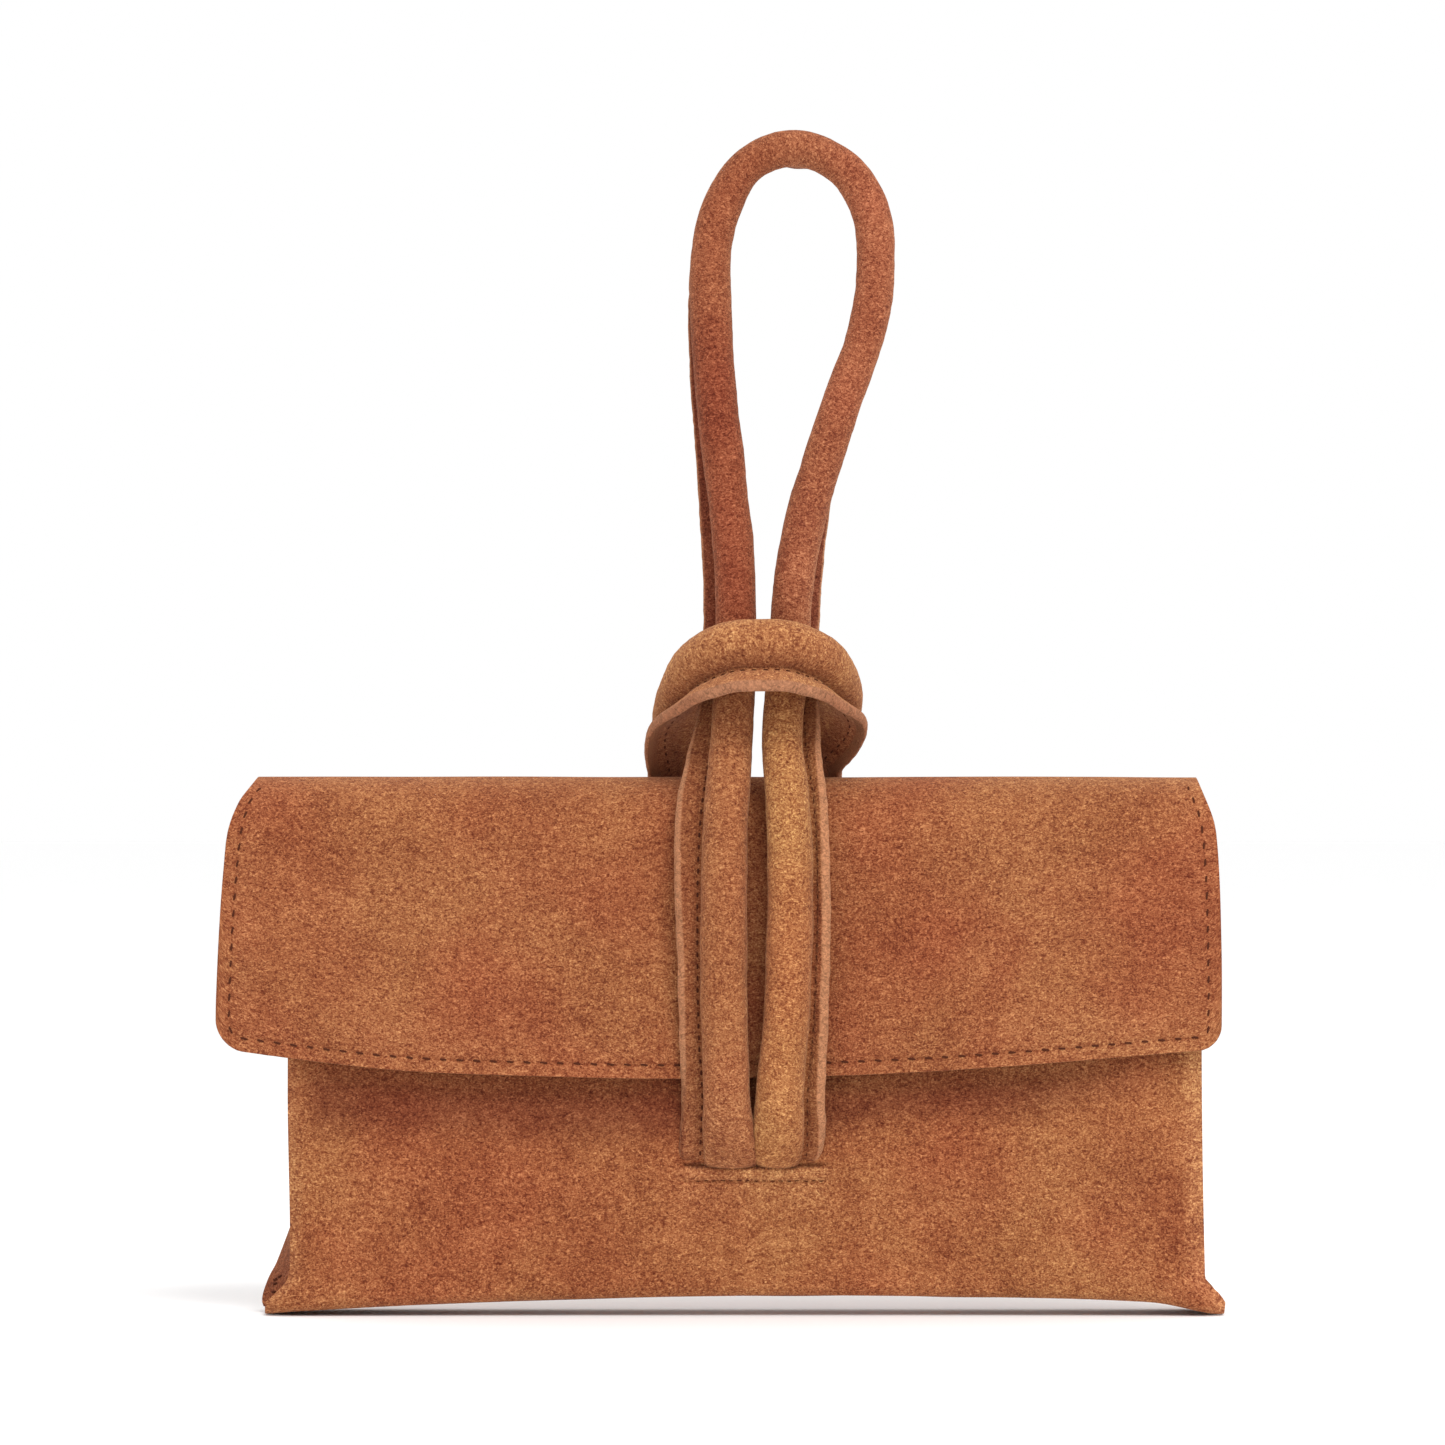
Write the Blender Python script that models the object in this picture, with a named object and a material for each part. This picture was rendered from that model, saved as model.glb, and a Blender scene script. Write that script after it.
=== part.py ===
"""A suede wristlet clutch, standing upright with its front towards -Y.

A gusseted pouch has a wide front flap that folds over its top. A padded wrist strap is sewn into a slit
in the front panel, runs up over the flap, and passes through a padded collar that is sewn to the back and
arches forwards. The collar grips the strap, and so holds the flap shut.
"""

import math

import bmesh
import bpy
from mathutils import Vector

MM = 0.001

# Sheet materials and the clearance kept between separate pieces
SUEDE = 1.4 * MM
STIFFENER = 0.6 * MM
LINING = 0.8 * MM
GAP = 0.3 * MM

# Pouch
HALF_WIDTH = 118.8 * MM
HALF_DEPTH = 14.0 * MM
TOP = 140.4 * MM
MOUTH = 129.5 * MM
PANEL_FOOT = 1.9 * MM
LINING_HALF_WIDTH = 113.5 * MM
GUSSET_TUCK = 10.6 * MM
GUSSET_HALF_DEPTH = 12.2 * MM
GUSSET_TOP = 123.9 * MM
BASE_LINER_HALF_WIDTH = 100.0 * MM
LEFT_FOLD = (7.3 * MM, 20.4 * MM)
RIGHT_FOLD = (5.6 * MM, 9.0 * MM)
CORNER_FOLD_DEPTH = 4.0 * MM

# Flap, whose sides overhang the pouch unevenly
FLAP_LEFT = -137.0 * MM
FLAP_RIGHT = 123.0 * MM
FLAP_CORNER_LOW = 69.5 * MM
FLAP_DROOP = 7.3 * MM
FLAP_CORNER_RADIUS = 6.0 * MM
STITCH_INSET = 3.5 * MM
THREAD = 0.3 * MM
THREAD_LIFT = 1.1 * MM

# Padded strap: a suede strip folded round a soft cord, its two edges sewn together as a seam flange
STRAP_RADIUS = 5.6 * MM
STRAP_FLANGE = 4.5 * MM
STRAP_CORE = 3.1 * MM
COLLAR_RADIUS = 5.0 * MM
COLLAR_FLANGE = 4.2 * MM
COLLAR_CORE = 2.4 * MM

# Slits that the strap's and the collar's ends pass through
STRAP_SLIT = (-17.4 * MM, 19.5 * MM, 39.5 * MM)
COLLAR_SLIT = (-28.0 * MM, 33.0 * MM, 98.6 * MM)
SLIT_HALF_HEIGHT = 1.6 * MM
ENDS_HALF_HEIGHT = 1.1 * MM

# Layers, as the distance of each one's outer face from the pouch's middle plane
PANEL_FACE = HALF_DEPTH
STIFFENER_FACE = PANEL_FACE - SUEDE - GAP
LINING_FACE = STIFFENER_FACE - STIFFENER - GAP
FLAP_LINING_FACE = PANEL_FACE + GAP + LINING
FLAP_STIFFENER_FACE = FLAP_LINING_FACE + GAP + STIFFENER
FLAP_FACE = FLAP_STIFFENER_FACE + GAP + SUEDE

# Fold over the top, a half turn from the back panel's outer face to the flap's
FOLD_RADIUS = (PANEL_FACE + FLAP_FACE) / 2
FOLD_Y = (PANEL_FACE - FLAP_FACE) / 2
FOLD_Z = TOP - FOLD_RADIUS

# Joint axes, all along X: (y, z)
AXES = {
    "pouch": (0, 0),
    "front": (-HALF_DEPTH + SUEDE / 2, PANEL_FOOT),
    "flap": (FOLD_Y, TOP - 2.4 * MM),
    "strap": (-HALF_DEPTH, STRAP_SLIT[2]),
    "wrist_loop": (-12.0 * MM, 206.0 * MM),
    "collar": (HALF_DEPTH, COLLAR_SLIT[2]),
}


def remove_everything():
    for item in list(bpy.data.objects):
        bpy.data.objects.remove(item)


def new_collection(name):
    collection = bpy.data.collections.new(name)
    bpy.context.scene.collection.children.link(collection)
    return collection


def material(name, colour, roughness):
    """A Principled BSDF; every material of this object is a non-metal."""
    made = bpy.data.materials.new(name)
    made.use_nodes = True
    shader = made.node_tree.nodes["Principled BSDF"]
    shader.inputs["Base Color"].default_value = (*colour, 1)
    shader.inputs["Roughness"].default_value = roughness
    shader.inputs["Metallic"].default_value = 0
    return made


def body_empties():
    """One empty on each moving body's axis, for that body's pieces to hang from."""
    empties = {}
    for body, (y, z) in AXES.items():
        empty = bpy.data.objects.new(body + "_axis", None)
        empty.location = (0, y, z)
        CLUTCH.objects.link(empty)
        empties[body] = empty
    return empties


def place(data, name, body, finish, location=(0, 0, 0), rotation=(0, 0, 0)):
    """Puts mesh or curve data at a world location, under its body's empty."""
    data.materials.append(MATERIALS[finish])
    item = bpy.data.objects.new(name, data)
    item.parent = EMPTIES[body]
    item.location = Vector(location) - EMPTIES[body].location
    item.rotation_euler = rotation
    CLUTCH.objects.link(item)
    return item


def outline_curve(name, loops, thickness):
    """A filled 2D outline, its later loops holes in the first, as thick as the sheet it stands for."""
    curve = bpy.data.curves.new(name, "CURVE")
    curve.dimensions = "2D"
    curve.fill_mode = "BOTH"
    curve.extrude = thickness / 2
    for loop in loops:
        spline = curve.splines.new("POLY")
        spline.points.add(len(loop) - 1)
        for point, (u, v) in zip(spline.points, loop):
            point.co = (u, v, 0, 1)
        spline.use_cyclic_u = True
    return curve


def upright(name, body, finish, loops, outer_face, thickness, side):
    """A sheet facing the front (side -1) or the back (side 1); its loops are (x, z) outlines."""
    middle = side * (outer_face - thickness / 2)
    curve = outline_curve(name, loops, thickness)
    return place(curve, name, body, finish, (0, middle, 0), (math.pi / 2, 0, 0))


def lying(name, body, finish, loop, low, high):
    """A prism with an (x, y) outline, between two heights."""
    curve = outline_curve(name, [loop], high - low)
    return place(curve, name, body, finish, (0, 0, (low + high) / 2))


def sideways(name, body, finish, loop, left, right):
    """A prism with a (y, z) outline, between two positions along X."""
    curve = outline_curve(name, [loop], right - left)
    middle = (left + right) / 2
    return place(curve, name, body, finish, (middle, 0, 0), (math.pi / 2, 0, math.pi / 2))


def rectangle(left, right, low, high):
    return [(left, low), (right, low), (right, high), (left, high)]


def arc(centre, radius, start, end, steps):
    """Points on an arc; the angles are in degrees from the first axis towards the second."""
    points = []
    for i in range(steps + 1):
        angle = math.radians(start + (end - start) * i / steps)
        points.append((centre[0] + radius * math.cos(angle), centre[1] + radius * math.sin(angle)))
    return points


def pouch_outline(inset, low, high, radius=4 * MM):
    """A panel of the pouch, with its two lower corners rounded."""
    right = HALF_WIDTH - inset
    points = arc((-right + radius, low + radius), radius, 180, 270, 4)
    points += arc((right - radius, low + radius), radius, 270, 360, 4)
    return points + [(right, high), (-right, high)]


def flap_outline(inset, high):
    """The flap's front: straight sides, round lower corners and a gently drooping lower edge."""
    left = FLAP_LEFT + inset
    right = FLAP_RIGHT - inset
    radius = FLAP_CORNER_RADIUS - inset / 2
    floor = FLAP_CORNER_LOW + inset
    droop_steps = 10
    points = [(left, high)] + arc((left + radius, floor + radius), radius, 180, 255, 4)
    for i in range(1, droop_steps):
        t = i / droop_steps
        x = left + radius + (right - left - 2 * radius) * t
        points.append((x, floor - FLAP_DROOP * math.sin(math.pi * t)))
    points += arc((right - radius, floor + radius), radius, 285, 360, 4)
    return points + [(right, high)]


def base():
    """The bottom strip, the board and lining on it, and the sewn corner folds that stick out sideways."""
    loop = rectangle(-HALF_WIDTH, HALF_WIDTH, -HALF_DEPTH, HALF_DEPTH)
    lying("base_panel", "pouch", "suede", loop, 0, SUEDE)
    liner_depth = LINING_FACE - LINING - GAP - 0.1 * MM
    loop = rectangle(-BASE_LINER_HALF_WIDTH, BASE_LINER_HALF_WIDTH, -liner_depth, liner_depth)
    board = SUEDE + GAP
    lying("base_stiffener", "pouch", "board", loop, board, board + LINING)
    lining = board + LINING + GAP
    lying("base_lining", "pouch", "lining", loop, lining, lining + LINING)
    half = CORNER_FOLD_DEPTH / 2
    for name, side, (reach, height) in (("left", -1, LEFT_FOLD), ("right", 1, RIGHT_FOLD)):
        root = side * (HALF_WIDTH + GAP)
        tip = side * (HALF_WIDTH + reach)
        low = 0.4 * MM
        loop = [(root, low), (tip, low), (root, height)]
        upright("corner_fold_" + name, "pouch", "suede", [loop], half, 2 * half, -1)


def gussets():
    """Each side is a strip folded inwards along its middle, with a lining of the same shape inside it."""
    lining_half_depth = LINING_FACE - LINING - GAP
    for name, side in (("left", -1), ("right", 1)):
        strips = (
            ("gusset_", "suede", HALF_WIDTH - 0.2 * MM, GUSSET_HALF_DEPTH, 1.7 * MM),
            ("gusset_lining_", "lining", HALF_WIDTH - 4.1 * MM, lining_half_depth, 1.05 * MM),
        )
        for prefix, finish, reach, half_depth, thickness in strips:
            tuck = GUSSET_TUCK * half_depth / GUSSET_HALF_DEPTH
            outer = [(side * reach, -half_depth), (side * (reach - tuck), 0), (side * reach, half_depth)]
            inner = [(x - side * thickness, y) for x, y in reversed(outer)]
            lying(prefix + name, "pouch", finish, outer + inner, PANEL_FOOT, GUSSET_TOP)


def slit_hole(slit, half_height=SLIT_HALF_HEIGHT):
    left, right, z = slit
    return rectangle(left, right, z - half_height, z + half_height)


def walls():
    """The front and back of the pouch: suede, stiffener and lining, with a slip pocket on the back one."""
    back_top = FOLD_Z - GAP
    sides = (("front", -1, STRAP_SLIT, MOUTH, MOUTH), ("back", 1, COLLAR_SLIT, back_top, back_top))
    for name, side, slit, top, lining_top in sides:
        body = "front" if side < 0 else "pouch"
        loops = [pouch_outline(0, PANEL_FOOT, top), slit_hole(slit)]
        upright(name + "_panel", body, "suede", loops, PANEL_FACE, SUEDE, side)
        patch = rectangle(slit[0] - 7 * MM, slit[1] + 7 * MM, slit[2] - 12 * MM, slit[2] + 10 * MM)
        window = rectangle(slit[0] - 7.5 * MM, slit[1] + 7.5 * MM, slit[2] - 12.5 * MM, slit[2] + 10.5 * MM)
        loops = [pouch_outline(5 * MM, PANEL_FOOT + 1.4 * MM, top - 2.5 * MM), window]
        upright(name + "_stiffener", body, "board", loops, STIFFENER_FACE, STIFFENER, side)
        upright(name + "_anchor_patch", body, "board", [patch], STIFFENER_FACE, STIFFENER, side)
        loops = [pouch_outline(HALF_WIDTH - LINING_HALF_WIDTH, PANEL_FOOT + 1 * MM, lining_top)]
        upright(name + "_lining", body, "lining", loops, LINING_FACE, LINING, side)
    pocket = rectangle(-55 * MM, 55 * MM, 30 * MM, 104 * MM)
    upright("slip_pocket", "pouch", "lining", [pocket], LINING_FACE - LINING - GAP, LINING, 1)


def flap():
    """The flap's three layers, and the fold that carries its suede and lining over the top."""
    top = FOLD_Z - GAP
    layers = (
        ("flap_panel", "suede", 0, FLAP_FACE, SUEDE),
        ("flap_stiffener", "board", 5 * MM, FLAP_STIFFENER_FACE, STIFFENER),
        ("flap_lining", "lining", 0.6 * MM, FLAP_LINING_FACE, LINING),
    )
    for name, finish, inset, face, thickness in layers:
        upright(name, "flap", finish, [flap_outline(inset, top)], face, thickness, -1)
    folds = (
        ("flap_fold", "suede", FOLD_RADIUS, SUEDE, 3 * MM),
        ("fold_lining", "lining", FOLD_RADIUS - SUEDE - GAP, LINING, 4 * MM),
    )
    for name, finish, radius, thickness, inset in folds:
        centre = (FOLD_Y, FOLD_Z)
        loop = arc(centre, radius, 0, 180, 14) + arc(centre, radius - thickness, 180, 0, 14)
        sideways(name, "flap", finish, loop, FLAP_LEFT + inset, FLAP_RIGHT - inset)


def cord(name, body, finish, points, radius):
    """A round cord or thread along a route."""
    curve = bpy.data.curves.new(name, "CURVE")
    curve.dimensions = "3D"
    curve.bevel_depth = radius
    curve.bevel_resolution = 2 if radius > 1 * MM else 1
    curve.use_fill_caps = True
    spline = curve.splines.new("POLY")
    spline.points.add(len(points) - 1)
    for point, position in zip(spline.points, points):
        point.co = (*position, 1)
    return place(curve, name, body, finish)


def smooth(keys, steps):
    """Catmull-Rom points through the keys, each key a position and the way its seam flange points."""
    rows = [list(position) + list(flange) for position, flange in keys]
    rows = [rows[0]] + rows + [rows[-1]]
    points = []
    for a, b, c, d in zip(rows, rows[1:], rows[2:], rows[3:]):
        for i in range(steps):
            t = i / steps
            row = []
            for p, q, r, s in zip(a, b, c, d):
                slope = (r - p) * t + (2 * p - 5 * q + 4 * r - s) * t * t + (3 * q - p - 3 * r + s) * t**3
                row.append(q + slope / 2)
            points.append(row)
    points.append(rows[-1])
    return [(Vector(row[:3]), Vector(row[3:])) for row in points]


def stations(route):
    """Each route point with its frame: outwards along the flange, and across it. The ends are cut level."""
    frames = []
    last = len(route) - 1
    for i, (point, flange) in enumerate(route):
        tangent = (route[min(i + 1, last)][0] - route[max(i - 1, 0)][0]).normalized()
        if i in (0, last):
            tangent = Vector((0, 0, math.copysign(1, tangent.z)))
        outward = (flange - tangent * flange.dot(tangent)).normalized()
        frames.append((point, outward, tangent.cross(outward)))
    return frames


def strap_section(radius, flange):
    """The strip's cross-section as pairs of outer and inner points, from one seam edge round to the other."""
    inner = radius - SUEDE
    slot = GAP / 2
    tip = radius + flange
    neck = math.sqrt(radius**2 - (SUEDE + slot) ** 2)
    pairs = [((tip, SUEDE + slot), (tip, slot)), ((neck, SUEDE + slot), (inner, slot))]
    for degrees in range(45, 360, 45):
        angle = math.radians(degrees)
        pairs.append(
            (
                (radius * math.cos(angle), radius * math.sin(angle)),
                (inner * math.cos(angle), inner * math.sin(angle)),
            )
        )
    pairs.append(((neck, -SUEDE - slot), (inner, -slot)))
    pairs.append(((tip, -SUEDE - slot), (tip, -slot)))
    return pairs


def strap_cover(name, body, frames, radius, flange):
    """The folded strip: a loft of its cross-section, whose flange turns along the route."""
    pairs = strap_section(radius, flange)
    loop = [pair[0] for pair in pairs] + [pair[1] for pair in reversed(pairs)]
    count = len(loop)
    mesh = bmesh.new()
    rings = []
    for point, outward, across in frames:
        rings.append([mesh.verts.new(point + outward * u + across * v) for u, v in loop])
    for first, second in zip(rings, rings[1:]):
        for i in range(count):
            j = (i + 1) % count
            mesh.faces.new((first[i], first[j], second[j], second[i]))
    for ring in (rings[0], rings[-1]):
        for i in range(len(pairs) - 1):
            mesh.faces.new((ring[i], ring[i + 1], ring[count - 2 - i], ring[count - 1 - i]))
    bmesh.ops.recalc_face_normals(mesh, faces=mesh.faces)
    data = bpy.data.meshes.new(name)
    mesh.to_mesh(data)
    mesh.free()
    return place(data, name, body, "suede")


def padded_strap(prefix, suffix, body, keys, steps, radius, flange, core, thread_side):
    """A length of strap: the suede cover, the padding inside it and the thread that closes it."""
    frames = stations(smooth(keys, steps))
    strap_cover(prefix + "_cover" + suffix, body, frames, radius, flange)
    cord(prefix + "_padding" + suffix, body, "padding", [point for point, _, _ in frames], core)
    height = SUEDE + THREAD_LIFT
    thread = [p + out * (radius + 1.2 * MM) + across * (thread_side * height) for p, out, across in frames]
    cord(prefix + "_thread" + suffix, body, "thread", thread, THREAD)


def mm_keys(rows):
    """Keys written in millimetres: x, y, z and the flange's direction."""
    return [((x * MM, y * MM, z * MM), (a, b, c)) for x, y, z, a, b, c in rows]


def strap_legs():
    """Two legs side by side, from the slit in the front panel to just above the collar."""
    left = (
        (-4.7, -21.0, 41.0, -1, 0, 0),
        (-5.5, -23.4, 59.0, -1, 0, 0),
        (-6.4, -25.2, 80.0, -1, 0, 0),
        (-6.6, -25.2, 112.0, -1, 0, 0),
        (-5.6, -24.4, 132.0, -1, 0.2, 0),
        (-4.2, -18.8, 150.0, -0.7, 0.7, 0),
        (-3.4, -13.0, 168.0, -0.5, 0.87, 0),
        (-3.2, -12.0, 186.0, -0.6, 0.8, 0),
        (-4.0, -12.0, 205.8, -0.9, 0.44, 0),
    )
    right = (
        (8.2, -21.0, 41.0, 1, 0, 0),
        (8.8, -23.4, 59.0, 1, 0, 0),
        (10.6, -25.2, 80.0, 1, 0, 0),
        (11.4, -25.2, 112.0, 1, 0, 0),
        (10.8, -24.4, 132.0, 1, 0.2, 0),
        (10.2, -18.8, 150.0, 0.7, 0.7, 0),
        (10.6, -13.0, 168.0, 0.5, 0.87, 0),
        (11.6, -12.0, 186.0, 0.6, 0.8, 0),
        (15.0, -12.0, 205.8, 0.8, 0.6, 0),
    )
    for suffix, rows, side in (("_left", left, 1), ("_right", right, -1)):
        size = (STRAP_RADIUS, STRAP_FLANGE, STRAP_CORE)
        padded_strap("strap", suffix, "strap", mm_keys(rows), 2, *size, side)


def wrist_loop():
    """The teardrop loop for the wrist, its seam flange turned to the rear round the top."""
    rows = (
        (-4.1, -12.0, 206.2, -0.9, 0.44, 0),
        (-6.0, -11.9, 222.8, -0.95, 0.3, 0),
        (-8.4, -11.5, 241.0, -1, 0.2, 0),
        (-9.7, -11.0, 264.0, -0.95, 0.3, 0),
        (-8.6, -10.4, 282.0, -0.9, 0.44, 0.1),
        (-1.6, -9.8, 296.5, -0.4, 0.9, 0.3),
        (12.5, -9.5, 303.8, 0, 1, 0),
        (26.0, -9.8, 297.6, 0.3, 0.95, 0.1),
        (33.0, -10.4, 283.0, 0.5, 0.87, 0),
        (33.0, -11.0, 264.0, 0.5, 0.87, 0),
        (26.4, -11.5, 242.5, 0.6, 0.8, 0),
        (19.8, -11.9, 222.8, 0.7, 0.7, 0),
        (15.1, -12.0, 206.2, 0.8, 0.6, 0),
    )
    size = (STRAP_RADIUS, STRAP_FLANGE, STRAP_CORE)
    padded_strap("loop", "", "wrist_loop", mm_keys(rows), 3, *size, 1)


def collar():
    """The short loop sewn to the back, which arches forwards over both legs of the strap."""
    middle = 2.4
    half = (
        (23.0, 20.6, 101.0, 1, 0, 0),
        (24.0, 20.6, 122.0, 1, 0, 0),
        (24.2, 18.6, 137.0, 0.8, -0.5, 0),
        (23.8, 9.0, 151.5, 0, -0.8, -0.6),
        (22.0, -6.0, 160.8, 0, -0.7, -0.7),
        (16.6, -20.0, 169.5, 0, -0.55, -0.83),
        (8.8, -26.6, 174.2, 0, -0.5, -0.87),
    )
    left = [(middle - x, y, z, -a, b, c) for x, y, z, a, b, c in half]
    right = [(middle + x, y, z, a, b, c) for x, y, z, a, b, c in reversed(half)]
    rows = left + [(middle, -28.4, 175.4, 0, -0.5, -0.87)] + right
    size = (COLLAR_RADIUS, COLLAR_FLANGE, COLLAR_CORE)
    padded_strap("collar", "", "collar", mm_keys(rows), 3, *size, -1)


def sewn_ends(name, body, slit, side, reach):
    """The flat ends that turn in through a slit, as one tab."""
    left, right, z = slit
    clearance = 0.5 * MM
    inner = PANEL_FACE - SUEDE
    low = z - ENDS_HALF_HEIGHT
    high = z + ENDS_HALF_HEIGHT
    loop = [(side * inner, low), (side * reach, low), (side * reach, high), (side * inner, high)]
    sideways(name, body, "suede", loop, left + clearance, right - clearance)


def stitch_lines():
    """The threads on the flap's edge and beside each slit."""
    clear = GAP + THREAD
    edge = [(x, -FLAP_FACE - clear, z) for x, z in flap_outline(STITCH_INSET, FOLD_Z - GAP)]
    cord("flap_thread", "flap", "thread", edge, THREAD)
    for name, body, (left, right, z), side in (
        ("strap_slit_thread", "front", STRAP_SLIT, -1),
        ("collar_slit_thread", "pouch", COLLAR_SLIT, 1),
    ):
        y = side * (PANEL_FACE + clear)
        low = z - 4 * MM
        cord(name, body, "thread", [(left + 3 * MM, y, low), (right, y, low)], THREAD)


remove_everything()
CLUTCH = new_collection("wristlet_clutch")
MATERIALS = {
    "suede": material("suede", (0.50, 0.21, 0.075), 0.95),
    "lining": material("lining", (0.34, 0.22, 0.14), 0.85),
    "board": material("board", (0.62, 0.58, 0.52), 0.9),
    "padding": material("padding", (0.80, 0.77, 0.70), 0.95),
    "thread": material("thread", (0.20, 0.08, 0.035), 0.8),
}
EMPTIES = body_empties()
base()
gussets()
walls()
flap()
sewn_ends("strap_ends", "front", STRAP_SLIT, -1, 26.6 * MM)
sewn_ends("collar_ends", "pouch", COLLAR_SLIT, 1, 25.6 * MM)
strap_legs()
wrist_loop()
collar()
stitch_lines()
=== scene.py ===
"""The looks of a suede wristlet clutch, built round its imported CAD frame.

Every soft piece is a sheet or a stuffed tube made by mesh code: one suede sheet is the back, the fold over
the top and the flap; another is the front wall; the strap and the collar are sweeps of one stitched section.
"""

import math

import bmesh
import bpy
import numpy as np
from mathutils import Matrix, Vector, noise


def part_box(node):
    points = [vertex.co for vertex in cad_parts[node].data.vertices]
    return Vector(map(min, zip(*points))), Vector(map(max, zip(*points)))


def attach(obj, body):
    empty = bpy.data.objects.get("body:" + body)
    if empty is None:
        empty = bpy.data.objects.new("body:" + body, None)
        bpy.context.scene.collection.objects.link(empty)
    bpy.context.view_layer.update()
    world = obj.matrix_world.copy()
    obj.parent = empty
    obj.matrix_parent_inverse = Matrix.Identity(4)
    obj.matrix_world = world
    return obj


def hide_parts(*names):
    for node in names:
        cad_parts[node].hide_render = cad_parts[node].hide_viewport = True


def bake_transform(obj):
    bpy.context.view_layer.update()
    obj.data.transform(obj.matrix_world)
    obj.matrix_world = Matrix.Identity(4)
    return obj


MM = 0.001

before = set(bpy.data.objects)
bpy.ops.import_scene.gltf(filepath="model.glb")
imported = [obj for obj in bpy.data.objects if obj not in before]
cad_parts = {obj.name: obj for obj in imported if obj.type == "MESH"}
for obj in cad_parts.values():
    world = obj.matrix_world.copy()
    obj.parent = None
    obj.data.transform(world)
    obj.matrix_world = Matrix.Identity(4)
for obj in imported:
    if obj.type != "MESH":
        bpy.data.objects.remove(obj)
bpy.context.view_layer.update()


# ---------------------------------------------------------------- places, from the frame

PANEL_LOW, PANEL_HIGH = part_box("front_panel")
FOLD_LOW, FOLD_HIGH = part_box("flap_fold")
ENDS_LOW, ENDS_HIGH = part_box("strap_ends")
BACK_ENDS_LOW, BACK_ENDS_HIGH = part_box("collar_ends")
POCKET_LOW, POCKET_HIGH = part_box("slip_pocket")

FRONT_FACE = PANEL_LOW.y
BACK_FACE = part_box("back_panel")[1].y
TOP = FOLD_HIGH.z
SUEDE = PANEL_HIGH.y - PANEL_LOW.y
FLAP_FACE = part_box("flap_panel")[0].y
SLIT_Z = (ENDS_LOW.z + ENDS_HIGH.z) / 2
SLIT_LEFT = ENDS_LOW.x
SLIT_RIGHT = ENDS_HIGH.x
BACK_SLIT_Z = (BACK_ENDS_LOW.z + BACK_ENDS_HIGH.z) / 2
FOLD_Y, FOLD_Z = (FOLD_LOW.y + FOLD_HIGH.y) / 2, FOLD_LOW.z

# Layers under the suede
LINING_THICK = 0.8 * MM
BOARD_THICK = 0.6 * MM
BOARD_DEPTH = 1.7 * MM
WALL_LINING_DEPTH = 2.6 * MM


# ---------------------------------------------------------------- small tools

def wave(x, y, size, seed=0.0):
    """Smooth noise from about -1 to 1, whose bumps are about size across."""
    return noise.noise(Vector((x / size, y / size, seed)))


def bell(distance, width):
    """1 at distance 0, falling smoothly to nothing at a few widths."""
    return math.exp(-((distance / width) ** 2))


def ease(value, low, high):
    """0 before low, 1 after high, and smooth between."""
    t = min(1.0, max(0.0, (value - low) / (high - low)))
    return t * t * (3 - 2 * t)


def curve_value(keys, x):
    """A smooth line through (x, value) keys."""
    xs = [k[0] for k in keys]
    if x <= xs[0]:
        return keys[0][1]
    if x >= xs[-1]:
        return keys[-1][1]
    i = next(n for n in range(len(xs) - 1) if x <= xs[n + 1])
    a = keys[max(i - 1, 0)]
    b, c = keys[i], keys[i + 1]
    d = keys[min(i + 2, len(keys) - 1)]
    span = c[0] - b[0]
    t = (x - b[0]) / span
    m0 = (c[1] - a[1]) / (c[0] - a[0]) * span
    m1 = (d[1] - b[1]) / (d[0] - b[0]) * span
    return (
        (2 * t**3 - 3 * t**2 + 1) * b[1]
        + (t**3 - 2 * t**2 + t) * m0
        + (-2 * t**3 + 3 * t**2) * c[1]
        + (t**3 - t**2) * m1
    )


def new_piece(name, vertices, faces, flat, raw, materials, sharp=50):
    """A mesh object. flat is each vertex's place on the flat hide, and raw how much of a cut edge it is."""
    mesh = bpy.data.meshes.new(name)
    mesh.from_pydata([tuple(v) for v in vertices], [], faces)
    mesh.attributes.new("flat", "FLOAT_VECTOR", "POINT").data.foreach_set(
        "vector", np.asarray(flat, np.float32).ravel()
    )
    mesh.attributes.new("raw", "FLOAT", "POINT").data.foreach_set("value", np.asarray(raw, np.float32))
    for made in materials:
        mesh.materials.append(made)
    mesh.shade_smooth()
    mesh.set_sharp_from_angle(angle=math.radians(sharp))
    mesh.update()
    piece = bpy.data.objects.new(name, mesh)
    bpy.context.scene.collection.objects.link(piece)
    return piece


def grid_normals(points):
    """Unit normals of a grid of points, from its two directions."""
    down = np.gradient(points, axis=0)
    across = np.gradient(points, axis=1)
    normals = np.cross(down, across)
    return normals / np.linalg.norm(normals, axis=2, keepdims=True)


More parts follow.
